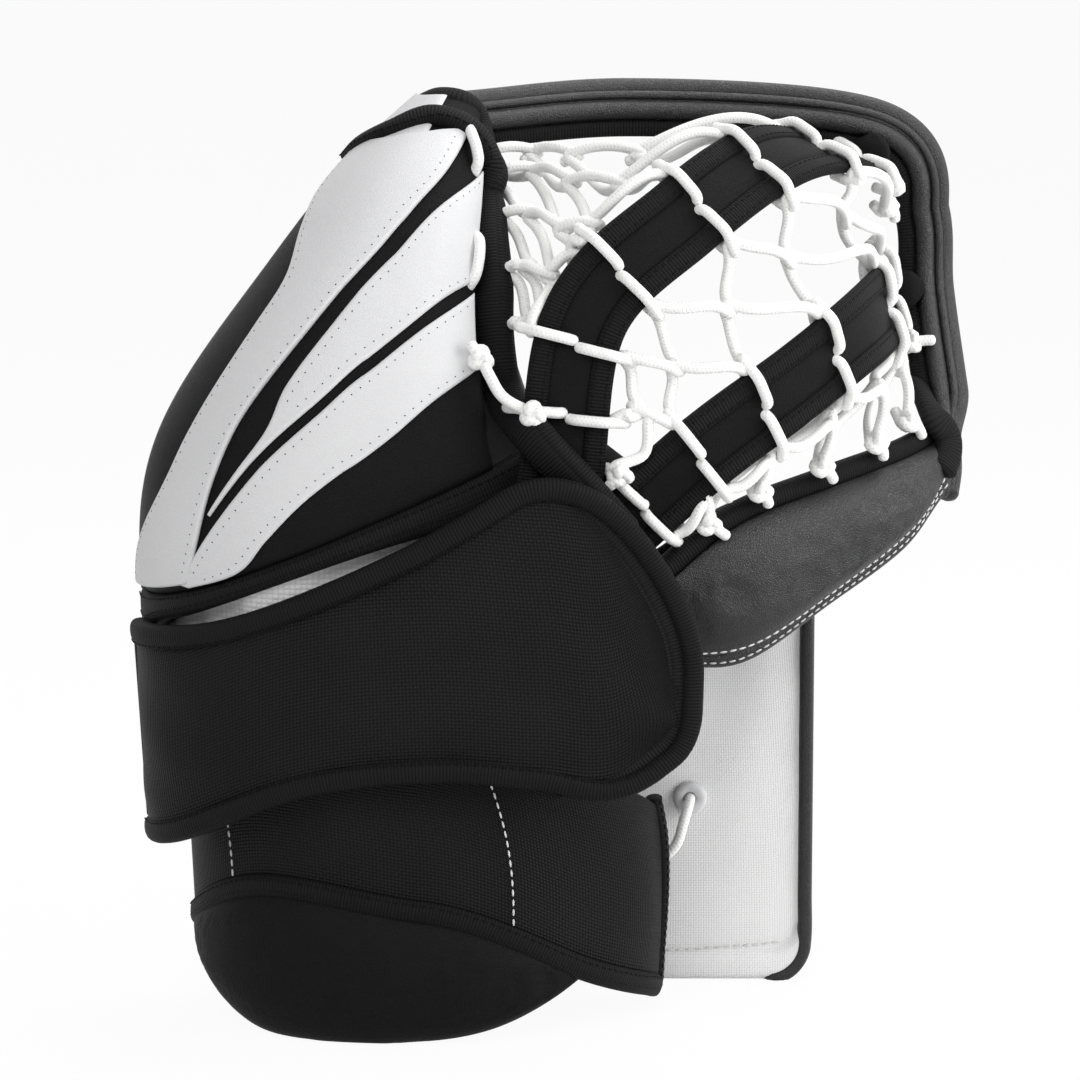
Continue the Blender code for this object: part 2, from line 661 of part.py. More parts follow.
def rim_frame(start, end, count):
    share = line(start, end, count)
    centre = basket(np.ones(count), share)
    tangent = unit(basket(np.ones(count), share + RIM_STEP) - basket(np.ones(count), share - RIM_STEP))
    out = unit(np.cross(tangent, np.array((0.0, 1.0, 0.0))))
    return centre, out, np.cross(out, tangent)


def build_rim(name, start, end, count):
    frame = rim_frame(start, end, count)
    centre, out, far = frame
    ribbon(name + "_tape", frame, *RIM_TAPE, -RIM_TAPE_HALF, RIM_TAPE_HALF, "black_binding")
    rolls = {"_back_roll": RIM_BACK_ROLL, "_piping": RIM_PIPING, "_face_roll": RIM_FACE_ROLL}
    for part, (distance, depth, radius) in rolls.items():
        tube(name + part, centre + out * distance + far * depth, radius, "black_leather")


def build_rims():
    """Top and side rims, with a gap between them where the glove folds."""
    corner = BASKET_SHARES[3]
    ends = basket(np.ones(2), np.array((corner - RIM_STEP, corner + RIM_STEP)))
    gap = RIM_BREAK_GAP * RIM_STEP / np.linalg.norm(ends[1] - ends[0])
    build_rim("rim_top", 0.0, corner - gap, 16)
    build_rim("rim_side", corner + gap, RIM_END, 10)


def build_thumb():
    def outer(reach, down):
        return THUMB_BACK + THUMB_CROWN * crown(reach, down)

    layer("thumb_back_pad", thumb_surface, (13, 8), 0.0, outer, "black_leather")
    low = -CLEARANCE - THUMB_STALL_DEPTH
    first, second = THUMB_STALL_SHARE
    start, end = THUMB_FOAM_SPAN
    below = (start, first - BESIDE_SHARE)
    above = (second + BESIDE_SHARE, end)
    for name, up in {"thumb_foam_lower": below, "thumb_foam_upper": above}.items():
        layer(name, thumb_surface, (9, 3), low, -CLEARANCE, "grey_foam", THUMB_FOAM_SPAN, up)
    build_thumb_stall(low)
    face = low - LAYER_GAP
    layer("thumb_face", thumb_surface, (10, 4), face - THUMB_FACE, face, "black_leather")
    reach = line(0.0, 1.0, 12)
    middle = -THUMB_STALL_DEPTH / 2
    edge_tube("thumb_welt", thumb_surface, reach, np.zeros(12), middle, WELT_RADIUS, -1, "black_leather")
    path = edge_path(thumb_surface, reach, np.ones(12), -BINDING_RADIUS, BINDING_RADIUS + CLEARANCE, 1)
    tube("thumb_edge_binding", path, BINDING_RADIUS, "black_binding")
    tip = line(0.99, 0.01, 4)
    edge_tube("thumb_tip_loop", thumb_surface, np.ones(4), tip, middle, BINDING_RADIUS, 1, "black_binding")


def build_thumb_stall(low):
    """Sleeve for the thumb, open at its base and closed at its tip, between the foam strips."""
    start, end = THUMB_STALL_REACH
    outer = line(start, end, 8)
    inner = np.minimum(outer[::-1], end - THUMB_STALL_END)
    turns = np.linspace(0, 2 * np.pi, 10, endpoint=False)
    middle_share = sum(THUMB_STALL_SHARE) / 2
    half_share = (THUMB_STALL_SHARE[1] - THUMB_STALL_SHARE[0]) / 2
    rings = []
    for wall, places in ((0.0, outer), (THUMB_STALL_WALL, inner)):
        for place in places:
            here = np.full(len(turns), place)
            width = np.linalg.norm(along(THUMB_UPPER, place) - along(THUMB_LOWER, place))
            share = middle_share + (half_share - wall / width) * np.cos(turns)
            depth = (THUMB_STALL_DEPTH / 2 - wall) * np.sin(turns) + (low - CLEARANCE) / 2
            rings.append(lifted(thumb_surface, here, share, depth))
    points = np.concatenate(rings)
    count = len(turns)
    faces = []
    for k in range(len(rings) - 1):
        if k == len(outer) - 1:
            faces.append(tuple(k * count + i for i in range(count)))
            faces.append(tuple((k + 1) * count + i for i in range(count)))
            continue
        for i in range(count):
            j = (i + 1) % count
            faces.append((k * count + i, k * count + j, (k + 1) * count + j, (k + 1) * count + i))
    last = (len(rings) - 1) * count
    for i in range(count):
        j = (i + 1) % count
        faces.append((last + i, last + j, j, i))
    mesh = bpy.data.meshes.new("thumb_stall")
    mesh.from_pydata([tuple(point) for point in points], [], faces)
    finish("thumb_stall", mesh, "grey_felt")


def build_catching_side():
    layer("finger_board", face_surface, (8, 8), 0.0, FACE_BOARD, "grey_foam", up=(0.0, FACE_BOARD_REACH))
    layer("finger_face", face_surface, (8, 8), -LAYER_GAP - LEATHER, -LAYER_GAP, "black_leather")
    layer("palm_leather", palm_surface, (8, 5), -LEATHER, LEATHER, "black_leather")
    layer("crotch_leather", crotch_surface, (5, 4), 0.0, LEATHER, "black_leather")
    for name, turn in DIVIDERS.items():
        build_divider(name, turn)


def build_divider(name, turn):
    """Thin wall between two fingers, from the back panel to the finger board."""
    height, depth = grid(6, 3, DIVIDER_HEIGHTS, (0.0, 1.0))
    back = lifted(lambda a, v: oval_form(HAND_FORM, a, v), np.full_like(height, turn), height, -LINER_THICK)
    share = (turn - FINGER_SPAN[0]) / (FINGER_SPAN[1] - FINGER_SPAN[0])
    up = (height - FACE_HEIGHTS[0]) / (FACE_HEIGHTS[1] - FACE_HEIGHTS[0])
    front = lifted(face_surface, np.full_like(height, share), up, FACE_BOARD)
    inward = unit(front - back) * DIVIDER_GAP * (1 - 2 * depth[..., None])
    points = blend(back, front, depth[..., None]) + inward
    side = np.array((DIVIDER_THICK / 2, 0.0, 0.0))
    closed_grid(name, points + side, points - side, "white_liner")


def build_cuff():
    layer("cuff_gusset", gusset_surface, (6, 3), 0.0, LEATHER, "black_nylon")
    layer("cuff_lining", cuff_surface, (8, 3), 0.0, CUFF_LINING, "white_nylon")
    layer("cuff_core", cuff_surface, (8, 3), -CLEARANCE - CUFF_CORE, -CLEARANCE, "grey_foam")
    face = -2 * CLEARANCE - CUFF_CORE
    layer("cuff_face", cuff_surface, (8, 3), face - CUFF_FACE, face, "black_leather")
    trim = np.array((CUFF_RIGHT + CLEARANCE, CUFF_NEAR, 0.0))
    length = np.array((0.0, 0.0, CUFF_TOP_RIGHT))
    rows = np.stack([trim, trim + length])
    width = np.array((CUFF_TRIM, 0.0, 0.0))
    near = np.stack([rows, rows + width], axis=1) - np.array((0.0, CUFF_LINING, 0.0))
    far = np.stack([rows, rows + width], axis=1) + np.array((0.0, CUFF_FACE - face, 0.0))
    closed_grid("cuff_edge_trim", near, far, "black_binding")
    x, z = BUTTON_PLACE
    front = CUFF_NEAR - CUFF_LINING - CLEARANCE
    tube("lace_button", [(x, front, z), (x, front - BUTTON_THICK, z)], BUTTON_RADIUS, "white_leather", 4)
    tube("cuff_lace", along(CUFF_LACE_ROUTE, line(0, 1, 9)), LACE_DIAMETER / 2, "white_lace")


def hang_on(empty_name, place, names):
    """Parent moving pieces to an empty on their hinge line, without moving them."""
    pivot = bpy.data.objects.new(empty_name, None)
    pivot.location = place
    bpy.context.collection.objects.link(pivot)
    bpy.context.view_layer.update()
    for item in list(bpy.data.objects):
        if item.type == "MESH" and item.name.startswith(names):
            item.parent = pivot
            item.matrix_parent_inverse = pivot.matrix_world.inverted()


def build_glove():
    clear_scene()
    build_finger_panel()
    build_wrist()
    hinge = build_strap()
    build_pocket()
    build_rims()
    build_thumb()
    build_catching_side()
    build_cuff()
    thumb_names = ("thumb_", "t_strap_thumb", "rim_side", "net_thumb", "net_middle_thumb")
    hang_on("thumb_hinge", Vector(BREAK_LOW), thumb_names)
    hang_on("strap_hinge", Vector(hinge[1]), ("strap_", "hook_patch"))


build_glove()
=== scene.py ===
"""Finished looks of a left-hand goalie catch glove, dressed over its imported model."""

import math

import bmesh
import bpy
import numpy as np
from bpy.props import FloatProperty, FloatVectorProperty, PointerProperty
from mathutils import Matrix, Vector
from mathutils.kdtree import KDTree


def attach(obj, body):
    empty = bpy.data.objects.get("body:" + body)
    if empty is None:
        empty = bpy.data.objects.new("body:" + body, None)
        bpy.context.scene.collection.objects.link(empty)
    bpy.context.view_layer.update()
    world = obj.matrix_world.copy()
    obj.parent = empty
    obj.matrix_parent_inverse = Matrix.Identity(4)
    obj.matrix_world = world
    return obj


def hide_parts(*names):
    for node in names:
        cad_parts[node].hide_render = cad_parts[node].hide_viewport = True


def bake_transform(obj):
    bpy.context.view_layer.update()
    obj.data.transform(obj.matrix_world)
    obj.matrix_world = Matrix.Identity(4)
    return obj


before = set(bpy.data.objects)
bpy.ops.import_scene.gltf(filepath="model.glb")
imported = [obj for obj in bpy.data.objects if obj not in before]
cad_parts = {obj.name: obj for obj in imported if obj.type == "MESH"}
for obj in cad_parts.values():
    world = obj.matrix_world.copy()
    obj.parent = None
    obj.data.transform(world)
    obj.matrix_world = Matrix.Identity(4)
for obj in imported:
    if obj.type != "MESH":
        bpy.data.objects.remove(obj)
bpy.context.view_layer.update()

bl_info = {
    "name": "Catch glove looks",
    "version": (1, 0, 0),
    "blender": (4, 5, 0),
    "location": "View3D > Sidebar > Glove",
    "description": "Leather, woven tape, padding, lace and stitches of a goalie catch glove",
    "category": "Object",
}

# Shared sizes
SMALL_STEP = 1e-4
LEATHER = 0.0030
LAYER_GAP = 0.0008
BESIDE_SHARE = 0.04

# Stuffing of pads: held hem, lift of the held back, and steps, pressure, stiffness and shrink of the run
PUFF_HEM = 0.005
PUFF_BACK = 0.002
PUFF_STEPS = 12
PUFF_PRESSURE = 4.0
PUFF_STIFFNESS = 40.0
PUFF_SHRINK = -0.004

# Making of meshes: merged distance, sharp edge, rounding of sheet edges, and the rings that close a band
MERGE_DISTANCE = 1e-6
SHARP_EDGE = math.radians(55)
EDGE_PLACES = (0.0, 0.08, 0.3, 0.65)
EDGE_MOST = 0.2
EDGE_THINNEST = 0.06
END_RINGS = ((0.0, 0.6), (0.45, 0.55), (0.85, 0.3))

# Hand form: height, left X, right X, front Y, left back Y, right back Y of a half-oval section
FINGER_TOP = 0.408
HAND_FORM = (
    (0.000, -0.162, 0.044, -0.074, 0.020, 0.020),
    (0.090, -0.164, 0.044, -0.078, 0.020, 0.005),
    (0.180, -0.178, 0.010, -0.080, 0.018, -0.010),
    (0.260, -0.171, -0.008, -0.080, 0.014, -0.022),
    (FINGER_TOP - 0.078, -0.125, -0.027, -0.056, 0.030, 0.005),
    (FINGER_TOP - 0.023, -0.079, -0.034, -0.012, 0.046, 0.045),
    (FINGER_TOP + 0.002, -0.051, -0.040, 0.026, 0.052, 0.060),
)
FORM_ROUNDNESS = 0.8

# Finger panel and its white overlays, as shares across and up the panel
FINGER_SPAN = (0.04, 0.730)
SLOT_LINE = ((-0.187, 0.190), (-0.157, 0.203), (-0.112, 0.223), (-0.059, 0.245), (-0.013, 0.263))
FINGER_THICK = 0.010
FINGER_CROWN = 0.004
OVERLAY = 0.0018
OVERLAY_EDGES = {
    "overlay_outer": (
        ((0.03, 0.02), (0.11, 0.10), (0.235, 0.214), (0.285, 0.312), (0.34, 0.518), (0.35, 0.63),
         (0.25, 0.73), (0.12, 0.81), (0.08, 0.89)),
        ((0.33, 0.02), (0.37, 0.112), (0.403, 0.232), (0.443, 0.364), (0.55, 0.55), (0.635, 0.664),
         (0.69, 0.74), (0.77, 0.81), (0.85, 0.905)),
    ),
    "overlay_middle": (
        ((0.393, 0.156), (0.495, 0.29), (0.517, 0.392), (0.573, 0.498), (0.652, 0.614), (0.76, 0.724),
         (0.97, 0.81)),
        ((0.40, 0.15), (0.512, 0.266), (0.60, 0.342), (0.672, 0.41), (0.758, 0.458), (0.848, 0.494),
         (0.97, 0.52)),
    ),
    "overlay_lower": (
        ((0.30, 0.02), (0.37, 0.09), (0.443, 0.162), (0.52, 0.238), (0.605, 0.312), (0.677, 0.378),
         (0.79, 0.436), (0.97, 0.484)),
        ((0.33, 0.01), (0.463, 0.015), (0.527, 0.064), (0.595, 0.118), (0.662, 0.158), (0.733, 0.198),
         (0.83, 0.248), (0.97, 0.282)),
    ),
}

# Overlays: sink into the panel, rise above it, edge rounding, inset of needle holes and width they need
OVERLAY_SINK = 0.0004
OVERLAY_RISE = {"overlay_outer": 0.0012, "overlay_middle": 0.0004, "overlay_lower": 0.0004}
OVERLAY_ROUND = 0.0016
HOLE_INSET = 0.0036
HOLE_LEAST_WIDTH = 0.011

# Tapes and white patch at the fingertips, as shares across and up the finger panel
FINGERTIP_TAPE = ((1.03, 0.828), (0.95, 0.875), (0.825, 0.91), (0.635, 0.936), (0.385, 0.912),
                  (0.15, 0.885), (0.02, 0.862))
FINGERTIP_LOOP = ((0.03, 0.966), (0.25, 0.99), (0.49, 1.0), (0.763, 0.996), (0.95, 0.98),
                  (1.06, 0.944), (1.10, 0.90))
FINGERTIP_PATCH = {"across": (0.02, 0.64), "up": (0.885, 0.992)}
FINGERTIP_BAND = (0.0062, 0.0056)

# Finger edge roll and the cord beside it: half width and height, places, reach and distance from the pocket
EDGE_ROLL = (0.0080, 0.0056)
EDGE_CORD = (0.0042, 0.0052)
EDGE_CORD_PLACE = (0.0060, -0.0012)
EDGE_SEAM_PLACE = (-0.0052, 0.0050)
EDGE_ROLL_REACH = (0.18, 0.70)
EDGE_ROLL_AWAY = ((0.18, 0.38), (0.0150, 0.0105))

# Lower end of the finger edge roll, which runs on behind the wrist strap
FINGER_EDGE_FOOT = ((0.0280, -0.0850, 0.2319), (0.0100, -0.0865, 0.2529), (-0.0090, -0.0845, 0.2733))
FINGER_EDGE_TAPER = ((0.0, 0.60, 0.78, 1.0), (1.0, 1.0, 0.72, 0.42))

# Tape along the fingers' base: half width and height, distance, reach, seams, and extra half width along it
BASE_TAPE = (0.0056, 0.0062)
BASE_TAPE_AWAY = 0.0046
BASE_TAPE_REACH = 1.16
BASE_TAPE_SEAMS = (-0.68, 0.25)
BASE_TAPE_EXTRA = ((0.00, 0.0036), (0.07, 0.0034), (0.16, 0.0008), (0.24, 0.0000), (0.62, 0.0000),
                   (0.74, 0.0016), (0.86, 0.0040), (1.00, 0.0044))
PINKY_ROLL = (0.0052, 0.0056)

# Wrist band, wrist pad and liner
BAND_SPAN = (0.03, 0.95)
BAND_LOWER = ((0.00, 0.044), (0.30, 0.074), (0.50, 0.066), (0.75, 0.034), (1.00, 0.012))
BAND_UPPER = ((0.00, 0.150), (0.50, 0.160), (0.80, 0.120), (1.00, 0.095))
BAND_THICK = 0.0035
PAD_SPAN = (0.045, 0.70)
BAND_BINDING = (0.0056, 0.0040)
BAND_SEAMS_X = (-0.144, -0.022)
LOOP_PATCH = {"across": (0.55, 0.72), "up": (0.79, 0.97)}
PAD_LOWER = ((0.00, 0.038), (0.10, 0.026), (0.22, 0.012), (0.36, 0.002), (0.48, 0.000), (0.66, 0.000),
             (0.80, 0.006), (0.92, 0.017), (1.00, 0.026))
PAD_BELOW_BAND = 0.006
PAD_SWELL = (0.0040, 0.0075)
PAD_PUFF = 0.005
LINER_SPAN = (0.06, 0.72)
LINER_HEIGHTS = (0.110, 0.290)
LINER_RIDGES = 7
LINER_PAD_ACROSS = (0.52, 0.10)
LINER_PAD_UP = (0.56, 0.22)

# Wrist strap
STRAP_FORM = (
    (0.080, -0.178, 0.086, -0.092, -0.006, -0.045),
    (0.260, -0.188, 0.094, -0.094, -0.010, -0.060),
)
STRAP_SPAN = (0.03, 0.72)
STRAP_MIDDLE = 0.160
STRAP_LOWER = ((-0.185, 0.090), (-0.112, 0.126), (-0.059, 0.134), (-0.007, 0.133),
               (0.030, 0.132), (0.050, 0.147))
STRAP_UPPER = ((-0.185, 0.173), (-0.141, 0.184), (-0.095, 0.203), (-0.060, 0.220), (-0.030, 0.236),
               (-0.008, 0.246), (0.012, 0.239), (0.030, 0.218), (0.043, 0.194), (0.050, 0.175))
STRAP_THICK = 0.007
STRAP_UNDER_BINDING = {"across": (0.0, 1.028), "up": (-0.06, 1.06)}
STRAP_BINDING = (0.0056, 0.0052)
STRAP_BINDING_AWAY = -0.0046
STRAP_PANEL_EDGE = (0.0030, 0.0030)
LOBE_SPREAD = 0.17
LOBE_ROLL_SHIFT = 0.0060
HINGE_ROLL = 0.0042
HOOK_PATCH = {"across": (0.62, 0.80), "up": (0.10, 0.60)}
ANCHOR_HEIGHTS = (0.096, 0.146)
ANCHOR_TURN = 0.06

# Pocket basket: curves from the crotch to the rim, at these shares across from finger to thumb
BASKET_SHARES = (0.00, 0.18, 0.40, 0.60, 0.80, 1.00)
BASKET_CURVES = (
    ((-0.002, -0.072, 0.262), (-0.016, -0.058, 0.313), (-0.020, -0.036, 0.352),
     (-0.024, 0.000, 0.377), (-0.040, 0.046, 0.388)),
    ((0.002, -0.077, 0.264), (0.002, -0.069, 0.323), (0.013, -0.050, 0.361),
     (0.025, 0.005, 0.383), (0.034, 0.081, 0.391)),
    ((0.0015, -0.0795, 0.2506), (0.013, -0.072, 0.326), (0.056, -0.050, 0.367),
     (0.101, 0.000, 0.391), (0.145, 0.081, 0.382)),
    ((0.016, -0.078, 0.252), (0.045, -0.074, 0.297), (0.082, -0.055, 0.332),
     (0.121, -0.009, 0.355), (0.159, 0.085, 0.352)),
    ((0.022, -0.066, 0.226), (0.066, -0.066, 0.266), (0.106, -0.048, 0.293),
     (0.140, -0.008, 0.314), (0.161, 0.081, 0.318)),
    ((0.046, -0.060, 0.216), (0.082, -0.050, 0.243), (0.123, -0.022, 0.255),
     (0.155, 0.014, 0.262), (0.167, 0.056, 0.268)),
)

# T-straps: reach along the pocket, half widths, side tapes and their seams, and the ends over the rim
STRAP_REACH = (-0.05, 0.90)
STRAP_HALF = 0.0190
STRAP_CORE_HALF = 0.0092
STRAP_TAPE = (0.0052, 0.0030)
STRAP_TAPE_PLACE = 0.0137
STRAP_TAPE_SEAM = 0.0030
STRAP_TAPE_END = 0.87
STRAP_ROUND_END = 0.55
STRAP_END_ROW = 0.945
STRAP_END_OVER_RIM = ((0.0000, 0.0062), (0.0050, 0.0070), (0.0100, 0.0045))
STRAP_END_REACHES = (0.96, 1.02, 1.08)
STRAP_END_WIDER = {"t_strap_finger": 0.0040, "t_strap_thumb": 0.0020}

# Rim: its end as a share across, step for directions, shares of its fold, and its run to the thumb tip
RIM_END = 0.97
RIM_STEP = 0.01
RIM_FOLD = (0.55, 0.65)
RIM_TAIL = ((0.176, 0.052, 0.254), (0.176, 0.044, 0.241), (0.174, 0.036, 0.231))

# Rim sections: distance out, depth, half width, half height, squareness and finish
RIM_SECTIONS = {
    "tape": (0.0040, 0.0, 0.0037, 0.0027, 3.4, "black_binding"),
    "skin": (0.0120, 0.0022, 0.0080, 0.0014, 3.0, "black_leather"),
    "back_roll": (0.0125, 0.0, 0.0045, 0.0045, 2.0, "black_leather"),
    "piping": (0.0193, 0.0020, 0.0022, 0.0022, 2.0, "black_leather"),
    "face_roll": (0.0215, 0.0092, 0.0052, 0.0052, 2.0, "black_leather"),
}

# Corners of the soft leather across the break, between the lower ends of the straps
ROOT_CORNERS = ((0.004, -0.064, 0.218), (0.034, -0.058, 0.206),
                (0.020, -0.070, 0.272), (0.052, -0.062, 0.246))

# Lace that leads on from the knot at the second strap's root
ROOT_LACE = ((0.0385, -0.079, 0.267), (0.0405, -0.078, 0.283))

# Knot on the finger panel, as shares across and up, and the bends of its lace to the first strap
KNOT_PLACE = (np.array([0.965]), np.array([0.305]))
KNOT_LACE_BENDS = ((0.30, 0.010), (0.65, 0.012))

# Lace over a strap's edge, as distance from the strap's middle and height
CROSSING = ((0.0006, -0.0030), (0.0032, 0.0042), (0.0105, 0.0058), (0.0175, 0.0056), (0.0222, 0.0020),
            (0.0262, -0.0012), (0.0225, -0.0042), (0.0130, -0.0058))

# Lace stitches on the finger panel: their ends across and up, and their heights
PANEL_LACES = (((0.80, 0.93), (0.93, 0.80)), ((0.955, 0.66), (0.955, 0.50)))
PANEL_LACE_HEIGHTS = np.array((-0.004, 0.0035, 0.0048, 0.0048, 0.0035, -0.004))

# Lace rows: where the holes of each strap are, and the joints of the nets as reach and share
FIRST_STRAP_ROWS = (0.10, 0.20, 0.344, 0.525, 0.675, 0.845)
SECOND_STRAP_ROWS = (0.088, 0.225, 0.40, 0.613, 0.86)
MIDDLE_JOINTS = ((0.181, 0.59), (0.30, 0.605), (0.463, 0.595), (0.638, 0.60), (0.825, 0.58), (0.96, 0.56))
FINGER_JOINTS = (
    ((0.30, 0.0), (0.444, 0.0), (0.619, 0.0), (0.80, 0.0), (0.93, 0.0)),
    ((0.288, 0.03), (0.438, 0.04), (0.606, 0.05), (0.80, 0.06), (0.931, 0.07)),
    ((0.288, 0.085), (0.388, 0.11), (0.525, 0.125), (0.713, 0.12), (0.87, 0.12)),
    ((0.345, 0.14), (0.438, 0.175), (0.52, 0.195), (0.66, 0.21), (0.84, 0.205)),
)
THUMB_JOINTS = (
    ((0.20, 0.905), (0.37, 0.91), (0.55, 0.91), (0.73, 0.91), (0.88, 0.91)),
    ((0.15, 0.99), (0.30, 0.99), (0.47, 0.99), (0.65, 0.99), (0.82, 0.99)),
)

# Thumb
THUMB_UPPER = ((0.050, -0.062, 0.2085), (0.082, -0.048, 0.2315), (0.123, -0.020, 0.2430),
               (0.157, 0.012, 0.2500), (0.175, 0.034, 0.2550))
THUMB_LOWER = ((0.054, -0.050, 0.172), (0.086, -0.042, 0.174), (0.124, -0.018, 0.195),
               (0.159, 0.008, 0.217), (0.178, 0.030, 0.239))
THUMB_DEPTH = 0.0224
THUMB_SWELL = (0.0040, 0.0095)
THUMB_PUFF = 0.004
THUMB_HEM = 0.044
THUMB_FOAM = {"thumb_foam_lower": (0.02, 0.19), "thumb_foam_upper": (0.81, 0.98)}
THUMB_WELT = (0.0052, 0.0060)
THUMB_BINDING = (0.0052, 0.0052)
TIP_LOOP_BAND = (0.0078, 0.0040)
TIP_LOOP = ((0.985, 1.45), (1.03, 1.00), (1.02, 0.60), (0.97, 0.35))
THUMB_FACE = 0.005

# Catching side
FACE_INNER = ((0.250, -0.004, -0.040), (0.300, -0.022, -0.030), (0.335, -0.032, -0.004),
              (0.365, -0.040, 0.030), (0.388, -0.048, 0.066))
FACE_HEIGHTS = (0.252, 0.386)
FACE_PINKY_SHIFT = (0.006, 0.012, 0.0)
FACE_BOARD = 0.010
FACE_CHANNELS = 3.5
PALM_CHANNELS = 4
PALM_TAPE = (0.0065, 0.0017)
PALM_TAPE_SEAM = 0.0045
FACE_ROLL = (0.0036, 0.0040)
PALM_CORNERS = ((-0.165, 0.034, 0.1484), (0.014, 0.041, 0.1484),
                (-0.168, 0.032, 0.2495), (-0.008, -0.036, 0.2495))
CROTCH_CORNERS = ((-0.0233, -0.0676, 0.222), (0.0147, -0.0717, 0.212),
                  (-0.0175, -0.0690, 0.2575), (0.0150, -0.0783, 0.2552))
WEB_CORNERS = ((0.012, 0.034, 0.150), (0.060, -0.024, 0.170),
               (-0.008, -0.036, 0.2485), (0.052, -0.040, 0.2080))
GUSSET_CORNERS = ((-0.160, 0.024, 0.040), (-0.0788, 0.038, 0.006),
                  (-0.166, 0.022, 0.140), (-0.0788, 0.038, 0.142))
DIVIDERS = {"divider_index": 0.60, "divider_middle": 0.44, "divider_ring": 0.28}
DIVIDER_HEIGHTS = (0.262, 0.345)

# Cuff board
CUFF_NEAR = 0.036
CUFF_LEFT = -0.078
CUFF_RIGHT = 0.117
CUFF_TOP_LEFT = 0.146
CUFF_TOP_BEND = (0.058, 0.146)
CUFF_TOP_RIGHT = 0.186
CUFF_LINING = 0.003
CUFF_CORE = 0.012
CUFF_FACE = 0.003
CUFF_CORNER = 0.018
CUFF_BORDER = 0.013
CUFF_TRIM = (0.0036, 0.0110)
CUFF_HEM_SEAM = 0.098
BUTTON_PLACE = (0.063, 0.088)
BUTTON_RADIUS = 0.0052
BUTTON_BAND = (0.0026, 0.0019)
TOWARDS_VIEWER = np.array([[0.0, -1.0, 0.0]])
CUFF_LACE_ROUTE = ((0.0630, 0.0280, 0.0880), (0.0600, 0.0180, 0.0800),
                   (0.0560, 0.0140, 0.0690), (0.0480, 0.0150, 0.0610))

# Camera of the photograph
CAMERA_TARGET = (-0.0068, 0.0, 0.215)
CAMERA_RISE = math.radians(10.0)
CAMERA_DISTANCE = 2.2
CAMERA_LENS = 161.2
SENSOR_WIDTH = 36.0

# Stage: floor size and drop, white share of the floor, and the lamps' aim, places, sizes and relative power
FLOOR_REACH = 14.0
FLOOR_DROP = -0.0006
FLOOR_WHITE = 0.94
LAMP_TARGET = (0.0, 0.0, 0.2)
LAMPS = {
    "key": ((-0.5, -1.9, 1.9), 1.5, 1.0),
    "side": ((2.1, -0.5, 0.7), 2.2, 1.9),
    "top": ((0.4, 0.6, 1.8), 1.3, 0.6),
}
WHITE = (1, 1, 1, 1)

# Finishes: pattern, its sizes, colour, dark and light shade (painted hollow shade and crest highlight),
# roughness, bump, sheen and gleam
LOOK_COLOURS = ("black_leather", "black_nylon", "white_leather", "white_nylon", "white_lace")
HIDE = {"Cell": 0.0011, "Creases": 0.8}
FINISHES = {
    "black_leather": ("leather grain", HIDE, "black_leather", (0.6, 1.6), (0.34, 0.48), 0.00022, 0.0, 0.42),
    "matte_leather": ("leather grain", HIDE, "black_leather", (0.6, 1.5), (0.46, 0.60), 0.00022, 0.0, 0.06),
    # On black nylon and tape the wide dark to light range paints highlights on the thread crests and shade
    # between threads
    "black_nylon": ("thread weave", {"Pitch": 0.0016}, "black_nylon", (0.02, 2.2), (0.44, 0.60), 0.0008,
                    0.0, 0.07),
    "black_binding": ("tape ribs", {"Rib": 0.0015}, "black_nylon", (0.1, 1.9), (0.50, 0.68), 0.0005,
                      0.0, 0.07),
    "white_leather": ("leather grain", {"Cell": 0.0009, "Creases": 0.5}, "white_leather", (0.93, 1.04),
                      (0.40, 0.52), 0.0001, 0.0, 0.28),
    "white_nylon": ("thread weave", {"Pitch": 0.0012}, "white_nylon", (0.82, 1.06), (0.62, 0.78), 0.0003,
                    0.1, 0.28),
    "white_liner": ("thread weave", {"Pitch": 0.0024}, "white_nylon", (0.78, 1.02), (0.75, 0.90), 0.0005,
                    0.2, 0.28),
    "white_lace": ("cord braid", {"Pitch": 0.0017}, "white_lace", (0.80, 1.05), (0.55, 0.70), 0.0003,
                   0.1, 0.28),
    "grey_foam": ("soft fibres", {"Cell": 0.0012}, "grey", (0.06, 0.13), (0.80, 0.95), 0.0004, 0.0, 0.28),
    "grey_felt": ("soft fibres", {"Cell": 0.0020}, "grey", (0.13, 0.24), (0.90, 1.00), 0.0006, 0.2, 0.28),
}
# Share of each finish's colour set by the pattern's height: painted shade in its hollows, painted highlight
# on its crests
PAINTED_RELIEF_SHADE_SHARE = 0.6
BUMP_STRENGTH = 0.7
SHEEN_ROUGHNESS = 0.4

# Threads: slot, finish, spacing, length and radius of one stitch
THREADS = {
    "white": ("white_lace", "white_lace", 0.0044, 0.0035, 0.00050),
    "black": ("black_binding", "matte_leather", 0.0040, 0.0030, 0.00040),
    "holes": ("black_binding", "black_binding", 0.0048, 0.0009, 0.00042),
}

# Stitch lines gathered while the pieces are made, by body and thread
SEAMS = {}


def look():
    return bpy.context.scene.glove_look


def between(first, second, first_slope, second_slope, length, share):
    """Smooth run from one value to the next, with a slope at each end."""
    keep = 2 * share ** 3 - 3 * share ** 2 + 1
    lead = share ** 3 - 2 * share ** 2 + share
    tail = share ** 3 - share ** 2
    return keep * first + (1 - keep) * second + length * (lead * first_slope + tail * second_slope)


